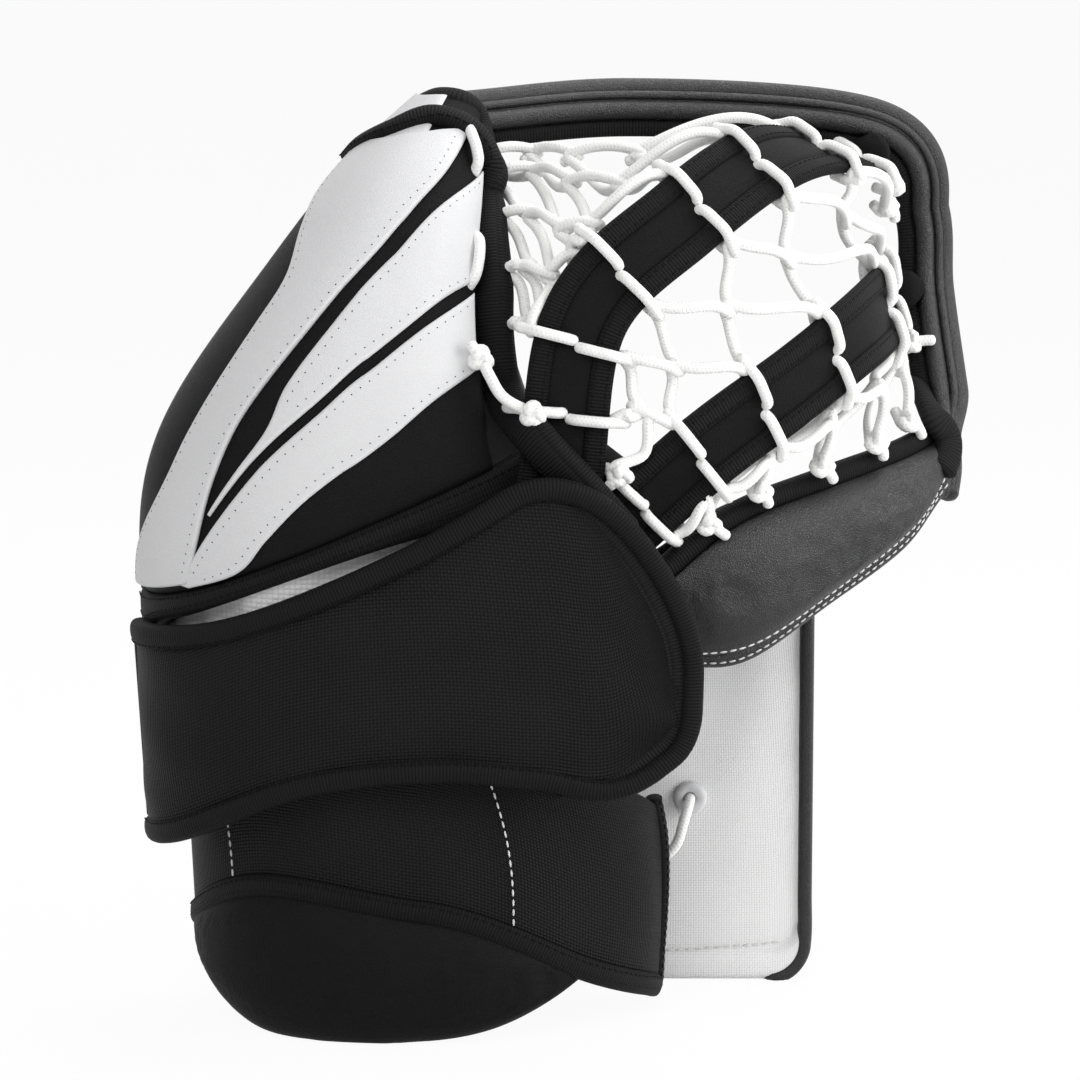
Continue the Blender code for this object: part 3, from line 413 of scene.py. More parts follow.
def smooth(knots, values, at):
    """Values on a smooth curve through the knots, at any places along it."""
    knots = np.asarray(knots, float)
    values = np.asarray(values, float)
    if values.ndim == 1:
        return smooth(knots, values[:, None], at)[..., 0]
    at = np.asarray(at, float)
    slopes = np.gradient(values, knots, axis=0)
    first = np.clip(np.searchsorted(knots, at, side="right") - 1, 0, len(knots) - 2)
    length = (knots[first + 1] - knots[first])[..., None]
    share = (at - knots[first])[..., None] / length
    return between(values[first], values[first + 1], slopes[first], slopes[first + 1], length, share)


def along(points, share):
    return smooth(np.linspace(0, 1, len(points)), points, share)


def pairs(table, at):
    """Second column of a two-column table as a smooth function of the first."""
    table = np.asarray(table, float)
    return smooth(table[:, 0], table[:, 1], np.clip(at, table[0, 0], table[-1, 0]))


def blend(low, high, share):
    return low + (high - low) * share


def unit(vectors):
    return vectors / np.linalg.norm(vectors, axis=-1, keepdims=True)


def line(start, end, count):
    return np.linspace(start, end, count)


def curve_through(points, step=0.002):
    """Evenly spaced points on a smooth curve through a few points."""
    points = np.asarray(points, float)
    steps = np.linalg.norm(np.diff(points, axis=0), axis=1)
    knots = np.concatenate([[0.0], np.cumsum(np.maximum(steps, SMALL_STEP))])
    dense = smooth(knots, points, np.linspace(0, knots[-1], 12 * len(points)))
    run = np.concatenate([[0.0], np.cumsum(np.linalg.norm(np.diff(dense, axis=0), axis=1))])
    places = np.linspace(0, run[-1], max(4, int(run[-1] / step) + 1))
    return np.stack([np.interp(places, run, dense[:, k]) for k in range(3)], axis=1)


def oval_form(table, turn, height):
    """Point on a half-oval section: turn runs 0 at the left back, 0.5 in front, 1 at the right back."""
    table = np.asarray(table, float)
    if len(table) == 2:
        share = (height - table[0, 0]) / (table[1, 0] - table[0, 0])
        row = blend(table[0, 1:], table[1, 1:], share[..., None])
    else:
        row = smooth(table[:, 0], table[:, 1:], height)
    left, right, front, left_back, right_back = np.moveaxis(row, -1, 0)
    cosine = np.cos(np.pi * turn)
    sine = np.abs(np.sin(np.pi * turn)) ** FORM_ROUNDNESS
    across = np.sign(cosine) * np.abs(cosine) ** FORM_ROUNDNESS
    back = np.where(turn < 0.5, left_back, right_back)
    x = (left + right) / 2 - (right - left) / 2 * across
    return np.stack([x, back - (back - front) * sine, height], axis=-1)


def hand_form(turn, height):
    return oval_form(HAND_FORM, turn, height)


def finger_surface(across, up):
    turn = blend(*FINGER_SPAN, across)
    middle_height = np.full_like(turn, (SLOT_LINE[0][1] + SLOT_LINE[-1][1]) / 2)
    bottom = pairs(SLOT_LINE, hand_form(turn, middle_height)[..., 0])
    return hand_form(turn, blend(bottom, FINGER_TOP, up))


def band_surface(across, up):
    height = blend(pairs(BAND_LOWER, across), pairs(BAND_UPPER, across), up)
    return hand_form(blend(*BAND_SPAN, across), height)


def pad_surface(across, up):
    turn = blend(*PAD_SPAN, across)
    top_share = (turn - BAND_SPAN[0]) / (BAND_SPAN[1] - BAND_SPAN[0])
    top = pairs(BAND_LOWER, top_share) - PAD_BELOW_BAND
    return hand_form(turn, blend(pairs(PAD_LOWER, across), top, up))


def liner_surface(across, up):
    return hand_form(blend(*LINER_SPAN, across), blend(*LINER_HEIGHTS, up))


def strap_surface(across, up):
    turn = blend(*STRAP_SPAN, across)
    x = oval_form(STRAP_FORM, turn, np.full_like(turn, STRAP_MIDDLE))[..., 0]
    return oval_form(STRAP_FORM, turn, blend(pairs(STRAP_LOWER, x), pairs(STRAP_UPPER, x), up))


def basket(reach, share):
    """Pocket surface: reach 0 at the crotch to 1 at the rim, share 0 at the fingers to 1 at the thumb."""
    reach, share = np.broadcast_arrays(np.asarray(reach, float), np.asarray(share, float))
    curves = np.stack([along(curve, reach.ravel()) for curve in BASKET_CURVES])
    knots = np.asarray(BASKET_SHARES)
    slopes = np.gradient(curves, knots, axis=0)
    place = share.ravel()
    first = np.clip(np.searchsorted(knots, place, side="right") - 1, 0, len(knots) - 2)
    length = (knots[first + 1] - knots[first])[:, None]
    part = (place - knots[first])[:, None] / length
    spot = np.arange(len(place))
    points = between(curves[first, spot], curves[first + 1, spot], slopes[first, spot],
                     slopes[first + 1, spot], length, part)
    return points.reshape(*reach.shape, 3)


def basket_frame(reach, share):
    """Place, sideways and outward directions on the pocket."""
    centre = basket(reach, share)
    tangent = unit(basket(reach + RIM_STEP, share) - basket(reach - RIM_STEP, share))
    sideways = basket(reach, share + BESIDE_SHARE) - basket(reach, share - BESIDE_SHARE)
    sideways = unit(sideways - tangent * np.sum(sideways * tangent, axis=-1, keepdims=True))
    return centre, sideways, np.cross(sideways, tangent)


def thumb_surface(reach, up):
    return blend(along(THUMB_LOWER, reach), along(THUMB_UPPER, reach), up[..., None])


def face_surface(across, up):
    height = blend(*FACE_HEIGHTS, up)
    table = np.asarray(FACE_INNER)
    inner = smooth(table[:, 0], table[:, 1:], np.clip(height, table[0, 0], table[-1, 0]))
    inner = np.concatenate([inner, height[..., None]], axis=-1)
    pinky = hand_form(np.zeros_like(height), height) + np.array(FACE_PINKY_SHIFT)
    return blend(pinky, inner, across[..., None])


def four_corners(corners):
    """Ruled surface: corners are lower left, lower right, upper left and upper right."""
    low_left, low_right, top_left, top_right = np.asarray(corners)

    def surface(across, up):
        low = blend(low_left, low_right, across[..., None])
        return blend(low, blend(top_left, top_right, across[..., None]), up[..., None])

    return surface


def cuff_surface(across, up):
    """Cuff board with a sloped top at the right and a rounded lower right corner."""
    x = blend(CUFF_LEFT, CUFF_RIGHT, across)
    bend_x, bend_z = CUFF_TOP_BEND
    top = np.interp(x, (CUFF_LEFT, bend_x, CUFF_RIGHT), (CUFF_TOP_LEFT, bend_z, CUFF_TOP_RIGHT))
    into = np.clip(x - (CUFF_RIGHT - CUFF_CORNER), 0, CUFF_CORNER)
    bottom = CUFF_CORNER - np.sqrt(CUFF_CORNER ** 2 - into ** 2)
    return np.stack([x, np.full_like(x, CUFF_NEAR), blend(bottom, top, up)], axis=-1)


def normals(surface, across, up):
    side = surface(across + SMALL_STEP, up) - surface(across - SMALL_STEP, up)
    rise = surface(across, up + SMALL_STEP) - surface(across, up - SMALL_STEP)
    return unit(np.cross(side, rise))


def lifted(surface, across, up, lift):
    across, up, lift = np.broadcast_arrays(across, up, lift)
    across = across.astype(float)
    up = up.astype(float)
    return surface(across, up) + normals(surface, across, up) * lift[..., None]


def crown(across, up, power=4):
    """Padded height: 0 at the edges and 1 in the middle."""
    sideways = 2 * np.clip(across, 0, 1) - 1
    upward = 2 * np.clip(up, 0, 1) - 1
    return (1 - np.abs(sideways) ** power) * (1 - np.abs(upward) ** power)


def finger_outer(across, up):
    return FINGER_THICK + FINGER_CROWN * crown(across, up)


class Form:
    """Points, faces and texture places of one piece while it is made."""

    def __init__(self):
        self.points = []
        self.faces = []
        self.places = []
        self.count = 0

    def grid(self, points, u, v, wrap=False, flip=False):
        rows, columns = points.shape[:2]
        i, j = np.meshgrid(np.arange(rows - 1), np.arange(columns if wrap else columns - 1), indexing="ij")
        i = i.ravel()
        j = j.ravel()
        corners = [(i, j), (i + 1, j), (i + 1, j + 1), (i, j + 1)]
        if flip:
            corners.reverse()
        start = self.count
        self.faces.append(np.stack([start + a * columns + b % columns for a, b in corners], axis=1))
        self.places.append(np.stack([np.stack([u[a, b], v[a, b]], axis=-1) for a, b in corners], axis=1))
        self.points.append(points.reshape(-1, 3))
        self.count += rows * columns

    def shell(self, near, far, u, v):
        """Closed sheet between two point grids."""
        self.grid(near, u, v)
        self.grid(far, u, v, flip=True)
        for axis, pick in ((0, 0), (0, -1), (1, 0), (1, -1)):
            strip = np.stack([np.take(near, pick, axis), np.take(far, pick, axis)])
            strip_u = np.stack([np.take(u, pick, axis)] * 2)
            strip_v = np.stack([np.take(v, pick, axis)] * 2)
            self.grid(strip, strip_u, strip_v)

    def piece(self, name, finish, body=None, nodes=()):
        """The finished object, which rides a body and stands for nodes of the model."""
        mesh = bpy.data.meshes.new(name)
        mesh.from_pydata(np.concatenate(self.points).tolist(), [], np.concatenate(self.faces).tolist())
        layer = mesh.uv_layers.new(name="UVMap")
        layer.data.foreach_set("uv", np.concatenate(self.places).ravel())
        shell = bmesh.new()
        shell.from_mesh(mesh)
        bmesh.ops.remove_doubles(shell, verts=shell.verts, dist=MERGE_DISTANCE)
        bmesh.ops.recalc_face_normals(shell, faces=shell.faces)
        for face in shell.faces:
            face.smooth = True
        shell.to_mesh(mesh)
        shell.free()
        mesh.set_sharp_from_angle(angle=SHARP_EDGE)
        return settle(name, mesh, finish, body, nodes)


def settle(name, mesh, finish, body, nodes=()):
    made = bpy.data.objects.new("sewn_" + name, mesh)
    bpy.context.scene.collection.objects.link(made)
    mesh.materials.clear()
    mesh.materials.append(bpy.data.materials["finish_" + finish])
    if body:
        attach(made, body)
    if nodes:
        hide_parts(*nodes)
    return made


def run_length(points, axis):
    steps = np.linalg.norm(np.diff(points, axis=axis), axis=-1)
    first = np.zeros_like(np.take(steps, [0], axis))
    return np.concatenate([first, np.cumsum(steps, axis=axis)], axis=axis)


def ends_dense(count, edge):
    """Shares from 0 to 1 with extra places close to both ends."""
    edge = min(edge, EDGE_MOST)
    curve = np.array(EDGE_PLACES) * edge
    return np.concatenate([curve, np.linspace(edge, 1 - edge, count), 1 - curve[::-1]])


def add_sheet(form, surface, counts, low, high, edge=0.003, across=(0.0, 1.0), up=(0.0, 1.0)):
    """Sheet between two lifts above a surface, with its edges rounded over a distance."""
    rough = surface(*np.meshgrid(line(*across, 9), line(*up, 9), indexing="ij"))
    width = run_length(rough, 0)[-1].mean()
    height = run_length(rough, 1)[:, -1].mean()
    a = blend(*across, ends_dense(counts[0], edge / width))
    v = blend(*up, ends_dense(counts[1], edge / height))
    a, v = np.meshgrid(a, v, indexing="ij")
    points = surface(a, v)
    away = normals(surface, a, v)
    run_u = run_length(points, 0)
    run_v = run_length(points, 1)
    inside = np.minimum(np.minimum(run_u, run_u[-1:] - run_u), np.minimum(run_v, run_v[:, -1:] - run_v))
    share = np.clip(inside / edge, 0, 1)
    fullness = np.maximum(EDGE_THINNEST, np.sqrt(1 - (1 - share) ** 2))
    low = low(a, v) if callable(low) else low
    high = high(a, v) if callable(high) else high
    middle = (low + high) / 2
    half = (high - low) / 2 * fullness
    near = points + away * np.broadcast_to(middle + half, a.shape)[..., None]
    far = points + away * np.broadcast_to(middle - half, a.shape)[..., None]
    form.shell(near, far, run_u, run_v)


def sheet_piece(name, surface, counts, low, high, finish, body, nodes=(), edge=0.003, **spans):
    form = Form()
    add_sheet(form, surface, counts, low, high, edge, **spans)
    return form.piece(name, finish, body, nodes)


def frames(path, ups=None):
    """Side and up directions along a path; without given ups they turn as little as they can."""
    tangent = unit(np.gradient(path, axis=0))
    if ups is None:
        ups = np.empty_like(path)
        start = np.array((0.0, 0.0, 1.0)) if abs(tangent[0, 2]) < 0.9 else np.array((1.0, 0.0, 0.0))
        ups[0] = unit(start - tangent[0] * (start @ tangent[0]))
        for k in range(1, len(path)):
            step = ups[k - 1] - tangent[k] * (ups[k - 1] @ tangent[k])
            ups[k] = step / np.linalg.norm(step)
    side = unit(np.cross(tangent, ups))
    return tangent, side, np.cross(side, tangent)


def add_band(form, path, half_side, half_up, ups=None, sides=16, power=2.0):
    """Cord or tape along a path, with an oval or boxy section and rounded ends."""
    tangent, side, up = frames(path, ups)
    count = len(path)
    half_side = np.broadcast_to(half_side, count).astype(float)
    half_up = np.broadcast_to(half_up, count).astype(float)
    turn = np.linspace(0, 2 * np.pi, sides, endpoint=False)
    wide = np.sign(np.cos(turn)) * np.abs(np.cos(turn)) ** (2 / power)
    tall = np.sign(np.sin(turn)) * np.abs(np.sin(turn)) ** (2 / power)

    def ring(k, size, shift):
        offset = side[k] * half_side[k] * wide[:, None] + up[k] * half_up[k] * tall[:, None]
        return path[k] + offset * size + tangent[k] * shift * half_up[k]

    rings = [ring(0, size, -shift) for size, shift in END_RINGS]
    rings += [ring(k, 1.0, 0.0) for k in range(count)]
    rings += [ring(count - 1, size, shift) for size, shift in reversed(END_RINGS)]
    points = np.stack(rings)
    run = run_length(points.mean(axis=1), 0)
    circle = np.concatenate([turn, [2 * np.pi]]) * (half_side.mean() + half_up.mean()) / 2
    u = np.repeat(run[:, None], sides + 1, axis=1)
    v = np.repeat(circle[None], len(rings), axis=0)
    form.grid(points, u, v, wrap=True)
    return side, up


def band_piece(name, path, half_side, half_up, finish, body, nodes=(), ups=None, sides=20, power=2.0):
    form = Form()
    side, up = add_band(form, path, half_side, half_up, ups, sides, power)
    return form.piece(name, finish, body, nodes), side, up


def seam(body, thread, points):
    SEAMS.setdefault((body, thread), []).append(np.asarray(points))


def surface_seam(body, thread, surface, across, up, lift):
    seam(body, thread, curve_through(lifted(surface, across, up, lift), 0.003))


def spread_over(directions, count):
    """Directions along a path, spread evenly over more points."""
    at = np.linspace(0, 1, count)
    knots = np.linspace(0, 1, len(directions))
    return unit(np.stack([np.interp(at, knots, directions[:, k]) for k in range(3)], axis=1))


def edge_line(surface, across, up, lift, distance):
    """Smooth path beside an edge of a surface, with its outward directions."""
    points = lifted(surface, across, up, lift)
    away = normals(surface, np.asarray(across, float), np.asarray(up, float))
    outward = unit(np.cross(np.gradient(points, axis=0), away))
    return points + outward * distance, away


def dense_edge(surface, across, up, lift, distance):
    path, away = edge_line(surface, across, up, lift, distance)
    fine = curve_through(path)
    return fine, spread_over(away, len(fine))


def keep_above_floor(piece):
    for point in piece.data.vertices:
        point.co.z = max(point.co.z, 0.0)


def hold_weights(surface, points):
    """How firmly a pad's points are held: fully on its back and its edges, not at all in its middle."""
    across, up = np.meshgrid(line(0, 1, 80), line(0, 1, 60), indexing="ij")
    places = surface(across, up)
    width = run_length(places, 0)[-1].mean()
    height = run_length(places, 1)[:, -1].mean()
    inside = np.minimum(np.minimum(across, 1 - across) * width, np.minimum(up, 1 - up) * height)
    inside = inside.ravel()
    away = normals(surface, across, up).reshape(-1, 3)
    places = places.reshape(-1, 3)
    tree = KDTree(len(places))
    for k, place in enumerate(places):
        tree.insert(place, k)
    tree.balance()
    nearest = np.array([tree.find(point)[1] for point in points])
    lift = np.sum((points - places[nearest]) * away[nearest], axis=1)
    free = np.clip((inside[nearest] - PUFF_HEM) / PUFF_HEM, 0, 1)
    return 1 - free * (lift > PUFF_BACK)


def puff(piece, surface, cap):
    """Swell a pad as if it were stuffed, by a short cloth run that holds its edges and its back."""
    scene = bpy.context.scene
    run = bpy.data.objects.new("pad_run", piece.data.copy())
    scene.collection.objects.link(run)
    rest = np.array([point.co[:] for point in run.data.vertices])
    held = run.vertex_groups.new(name="held")
    for k, weight in enumerate(hold_weights(surface, rest)):
        held.add([k], float(weight), "REPLACE")
    cloth = run.modifiers.new("stuffing", "CLOTH")
    cloth.settings.vertex_group_mass = "held"
    cloth.settings.use_pressure = True
    cloth.settings.uniform_pressure_force = PUFF_PRESSURE
    cloth.settings.effector_weights.gravity = 0.0
    cloth.settings.tension_stiffness = PUFF_STIFFNESS
    cloth.settings.compression_stiffness = PUFF_STIFFNESS
    cloth.settings.shrink_min = PUFF_SHRINK
    for step in range(1, PUFF_STEPS + 1):
        scene.frame_set(step)
    swollen = bpy.data.meshes.new_from_object(run.evaluated_get(bpy.context.evaluated_depsgraph_get()))
    scene.frame_set(1)
    shift = np.array([point.co[:] for point in swollen.vertices]) - rest
    length = np.linalg.norm(shift, axis=1, keepdims=True)
    shift *= np.minimum(1.0, cap / np.maximum(length, 1e-9))
    bpy.data.objects.remove(run, do_unlink=True)
    bpy.data.meshes.remove(swollen)
    piece.data.vertices.foreach_set("co", (rest + shift).ravel())
    piece.data.update()


def put(tree, kind, inputs=None, **settings):
    """A node with its settings, whose inputs are values or sockets to link."""
    node = tree.nodes.new(kind)
    for key, value in settings.items():
        setattr(node, key, value)
    for key, value in (inputs or {}).items():
        if isinstance(value, bpy.types.NodeSocket):
            tree.links.new(value, node.inputs[key])
        else:
            node.inputs[key].default_value = value
    return node


def maths(tree, operation, first, second=0.0):
    return put(tree, "ShaderNodeMath", {0: first, 1: second}, operation=operation).outputs[0]


def open_group(name, sizes):
    """A shader group with named sizes as inputs, and height and tone as outputs."""
    tree = bpy.data.node_groups.new(name, "ShaderNodeTree")
    for label, default in sizes.items():
        socket = tree.interface.new_socket(label, in_out="INPUT", socket_type="NodeSocketFloat")
        socket.default_value = default
    for label in ("Height", "Tone"):
        tree.interface.new_socket(label, in_out="OUTPUT", socket_type="NodeSocketFloat")
    return tree, put(tree, "NodeGroupInput"), put(tree, "NodeGroupOutput")


def close_group(tree, sink, height, tone):
    tree.links.new(height, sink.inputs["Height"])
    tree.links.new(tone, sink.inputs["Tone"])


def cloud(tree, scale, detail=4.0):
    place = put(tree, "ShaderNodeTexCoord").outputs["Object"]
    noise = put(tree, "ShaderNodeTexNoise", {"Vector": place, "Scale": scale, "Detail": detail})
    return noise.outputs["Fac"]


def own_map(tree):
    """Places along and across a piece in metres, from its own map."""
    place = put(tree, "ShaderNodeUVMap", uv_map="UVMap").outputs["UV"]
    return put(tree, "ShaderNodeSeparateXYZ", {0: place}).outputs


def ridges(tree, count):
    """Rounded ridges, one for each whole count."""
    return maths(tree, "ABSOLUTE", maths(tree, "SINE", maths(tree, "MULTIPLY", count, math.pi)))


def raised(tree, value, factor):
    """A value from 0 to 1, squeezed into the top of that range."""
    made = maths(tree, "MULTIPLY_ADD", value, factor)
    made.node.inputs[2].default_value = 1.0 - factor
    return made


def make_grain_group():
    """Fine leather pebbles with soft creases over them."""
    tree, source, sink = open_group("leather grain", {"Cell": 0.0012, "Creases": 0.5})
    place = put(tree, "ShaderNodeTexCoord").outputs["Object"]
    scale = maths(tree, "DIVIDE", 1.0, source.outputs["Cell"])
    cells = put(tree, "ShaderNodeTexVoronoi", {"Vector": place, "Scale": scale}, feature="DISTANCE_TO_EDGE")
    pebble = put(tree, "ShaderNodeMapRange", {"Value": cells.outputs["Distance"], "From Max": 0.25})
    crease = maths(tree, "MULTIPLY", cloud(tree, 90.0, 3.0), source.outputs["Creases"])
    height = maths(tree, "ADD", pebble.outputs["Result"], crease)
    close_group(tree, sink, height, cloud(tree, 24.0))


def make_weave_group():
    """Plain weave of thick threads, from the piece's own map in metres."""
    tree, source, sink = open_group("thread weave", {"Pitch": 0.0013})
    place = own_map(tree)
    threads = []
    floors = []
    for axis in ("X", "Y"):
        count = maths(tree, "DIVIDE", place[axis], source.outputs["Pitch"])
        floors.append(maths(tree, "FLOOR", count))
        threads.append(ridges(tree, count))
    odd = maths(tree, "FLOORED_MODULO", maths(tree, "ADD", *floors), 2.0)
    over = []
    for first, second in (threads, threads[::-1]):
        over.append(maths(tree, "MULTIPLY", maths(tree, "POWER", first, 0.7), raised(tree, second, 0.5)))
    height = put(tree, "ShaderNodeMix", {"Factor": odd, "A": over[0], "B": over[1]}).outputs["Result"]
    close_group(tree, sink, height, cloud(tree, 30.0))


def make_rib_group():
    """Woven tape: fine ribs across its length, broken by finer threads along it."""
    tree, source, sink = open_group("tape ribs", {"Rib": 0.0011, "Thread": 0.0008})
    place = own_map(tree)
    ribs = ridges(tree, maths(tree, "DIVIDE", place["X"], source.outputs["Rib"]))
    threads = ridges(tree, maths(tree, "DIVIDE", place["Y"], source.outputs["Thread"]))
    height = maths(tree, "MULTIPLY", ribs, raised(tree, threads, 0.4))
    close_group(tree, sink, height, cloud(tree, 30.0))


def make_braid_group():
    """Tubular braid: two sets of slanted threads round a cord."""
    tree, source, sink = open_group("cord braid", {"Pitch": 0.0026, "Round": 0.0163})
    place = own_map(tree)
    length = maths(tree, "DIVIDE", place["X"], source.outputs["Pitch"])
    turns = maths(tree, "DIVIDE", place["Y"], source.outputs["Round"])
    turns = maths(tree, "MULTIPLY", turns, 4.0)
    slants = [ridges(tree, maths(tree, operation, length, turns)) for operation in ("ADD", "SUBTRACT")]
    close_group(tree, sink, maths(tree, "MAXIMUM", *slants), cloud(tree, 40.0))


def make_felt_group():
    """Brushed fibres and foam cells."""
    tree, source, sink = open_group("soft fibres", {"Cell": 0.0015})
    scale = maths(tree, "DIVIDE", 1.0, source.outputs["Cell"])
    close_group(tree, sink, cloud(tree, scale, 6.0), cloud(tree, 30.0))


def make_finish(name, pattern, sizes, dark, light, rough, bump, sheen, gleam):
    """A material from a pattern group: its height gives bump, painted shade in the hollows and painted
    highlight on the crests, its tone gives variation.
    """
    made = bpy.data.materials.new("finish_" + name)
    made.use_nodes = True
    tree = made.node_tree
    shader = tree.nodes["Principled BSDF"]
    group = put(tree, "ShaderNodeGroup", node_tree=bpy.data.node_groups[pattern])
    for label, value in sizes.items():
        group.inputs[label].default_value = value
    # Colour mix factor: random tone plus the height's painted shade in hollows and painted highlight on
    # crests
    shade = maths(tree, "MULTIPLY_ADD", group.outputs["Tone"], 1.0 - PAINTED_RELIEF_SHADE_SHARE)
    tree.links.new(maths(tree, "MULTIPLY", group.outputs["Height"], PAINTED_RELIEF_SHADE_SHARE), shade.node.inputs[2])
    colour = put(tree, "ShaderNodeMix", {"Factor": shade}, data_type="RGBA")
    for socket in colour.inputs:
        if socket.type == "RGBA":
            socket.default_value = (*(dark if socket.name == "A" else light), 1.0)
    result = [socket for socket in colour.outputs if socket.type == "RGBA"][0]
    tree.links.new(result, shader.inputs["Base Color"])
    gloss = put(tree, "ShaderNodeMapRange", {
        "Value": group.outputs["Tone"], "To Min": rough[0], "To Max": rough[1]})
    tree.links.new(gloss.outputs["Result"], shader.inputs["Roughness"])
    relief = put(tree, "ShaderNodeBump", {
        "Height": group.outputs["Height"], "Strength": BUMP_STRENGTH, "Distance": bump})
    tree.links.new(relief.outputs["Normal"], shader.inputs["Normal"])
    shader.inputs["Sheen Weight"].default_value = sheen
    shader.inputs["Sheen Roughness"].default_value = SHEEN_ROUGHNESS
    shader.inputs["Specular IOR Level"].default_value = gleam


def make_finishes():
    make_grain_group()
    make_weave_group()
    make_rib_group()
    make_braid_group()
    make_felt_group()
    colours = {name: np.array(getattr(look(), name)) for name in LOOK_COLOURS}
    colours["grey"] = np.ones(3)
    for name, (pattern, sizes, colour, (dark, light), *surface) in FINISHES.items():
        make_finish(name, pattern, sizes, colours[colour] * dark, colours[colour] * light, *surface)


def make_stitch_tree():
    """Stitches along a line: one small rounded thread at every step, lying along the line."""
    tree = bpy.data.node_groups.new("stitch run", "GeometryNodeTree")
    sockets = {}
    tree.interface.new_socket("Line", in_out="INPUT", socket_type="NodeSocketGeometry")
    for label in ("Spacing", "Length", "Radius"):
        sockets[label] = tree.interface.new_socket(label, in_out="INPUT", socket_type="NodeSocketFloat")
    sockets["Thread"] = tree.interface.new_socket(
        "Thread", in_out="INPUT", socket_type="NodeSocketMaterial")
    tree.interface.new_socket("Stitches", in_out="OUTPUT", socket_type="NodeSocketGeometry")
    source = put(tree, "NodeGroupInput")
    curve = put(tree, "GeometryNodeMeshToCurve", {"Mesh": source.outputs["Line"]})
    spread = put(tree, "GeometryNodeResampleCurve", mode="LENGTH")
    tree.links.new(curve.outputs["Curve"], spread.inputs["Curve"])
    tree.links.new(source.outputs["Spacing"], spread.inputs["Length"])
    tangent = put(tree, "GeometryNodeInputTangent").outputs["Tangent"]
    turn = put(tree, "FunctionNodeAlignRotationToVector", {"Vector": tangent}, axis="Z")
    thread = put(tree, "GeometryNodeMeshUVSphere", {"Segments": 6, "Rings": 4, "Radius": 1.0})
    half = maths(tree, "MULTIPLY", source.outputs["Length"], 0.5)
    radius = source.outputs["Radius"]
    size = put(tree, "ShaderNodeCombineXYZ", {"X": radius, "Y": radius, "Z": half})
    place = put(tree, "GeometryNodeInstanceOnPoints", {
        "Points": spread.outputs["Curve"], "Instance": thread.outputs["Mesh"],
        "Rotation": turn.outputs["Rotation"], "Scale": size.outputs["Vector"]})
    real = put(tree, "GeometryNodeRealizeInstances", {"Geometry": place.outputs["Instances"]})
    soft = put(tree, "GeometryNodeSetShadeSmooth", {"Geometry": real.outputs["Geometry"]})
    coat = put(tree, "GeometryNodeSetMaterial", {
        "Geometry": soft.outputs["Geometry"], "Material": source.outputs["Thread"]})
    sink = put(tree, "NodeGroupOutput")
    tree.links.new(coat.outputs["Geometry"], sink.inputs["Stitches"])
    return tree, {label: socket.identifier for label, socket in sockets.items()}


def make_stitches(body, thread, runs, tree, names):
    slot, finish, spacing, length, radius = THREADS[thread]
    points = []
    edges = []
    for run in runs:
        start = len(points)
        points.extend(run.tolist())
        edges.extend((start + k, start + k + 1) for k in range(len(run) - 1))
    mesh = bpy.data.meshes.new("seam_line")
    mesh.from_pydata(points, edges, [])
    guide = bpy.data.objects.new("seam_line", mesh)
    bpy.context.scene.collection.objects.link(guide)
    nodes = guide.modifiers.new("stitches", "NODES")
    nodes.node_group = tree
    nodes[names["Spacing"]] = spacing
    nodes[names["Length"]] = length
    nodes[names["Radius"]] = radius
    nodes[names["Thread"]] = bpy.data.materials["finish_" + finish]
    done = bpy.data.meshes.new_from_object(guide.evaluated_get(bpy.context.evaluated_depsgraph_get()))
    guide.modifiers.remove(nodes)
    bpy.data.objects.remove(guide, do_unlink=True)
    if not done.uv_layers:
        done.uv_layers.new(name="UVMap")
    done.name = f"stitches_{thread}_{body}"
    settle(done.name, done, finish, body)


def make_finger_panel():
    panel = sheet_piece("finger_panel", finger_surface, (120, 110), LAYER_GAP, finger_outer,
                        "matte_leather", "hand", ("finger_panel",), 0.004)
    for name, (first, second) in OVERLAY_EDGES.items():
        make_overlay(name, first, second)
    make_finger_bindings()


def make_overlay(name, first, second):
    """White leather panel on the finger panel, with needle holes along its edges."""
    def spot(width, share):
        return np.moveaxis(blend(along(first, share), along(second, share), width[..., None]), -1, 0)

    def surface(width, share):
        return finger_surface(*spot(width, share))

    def seat(width, share):
        return finger_outer(*spot(width, share)) - OVERLAY_SINK

    def top(width, share):
        return finger_outer(*spot(width, share)) + OVERLAY_RISE[name] + OVERLAY

    sheet_piece(name, surface, (36, 90), seat, top, "white_leather", "hand", (name,), OVERLAY_ROUND)
    share = line(0.04, 0.97, 30)
    width = np.linalg.norm(surface(np.ones(30), share) - surface(np.zeros(30), share), axis=-1)
    wide = width > HOLE_LEAST_WIDTH
    share = share[wide]
    inset = HOLE_INSET / width[wide]
    for across in (inset, 1.0 - inset):
        surface_seam("hand", "holes", surface, across, share, top(across, share) - 0.0002)


def make_finger_bindings():
    middle = FINGER_THICK / 2
    across = line(0.0, BASE_TAPE_REACH, 26)
    path, ups = dense_edge(finger_surface, across, np.zeros(26), middle, BASE_TAPE_AWAY)
    extra = pairs(BASE_TAPE_EXTRA, line(0, 1, len(path)))
    path = path + frames(path, ups)[1] * extra[:, None]
    half, height = BASE_TAPE
    side, up = band_piece("finger_base_binding", path, half + extra, height, "black_binding", "hand",
                          ("finger_base_binding",), ups, 28, power=3.4)[1:]
    for share in BASE_TAPE_SEAMS:
        seam("hand", "black", path + side * (share * (half + extra))[:, None] + up * height)
    path, ups = dense_edge(finger_surface, np.zeros(16), line(0.0, 0.97, 16), middle, -0.001)
    band_piece("pinky_edge_roll", path, *PINKY_ROLL, "black_leather", "hand", ("pinky_edge_roll",), ups,
               power=2.6)
    make_finger_edge()
    make_fingertip()


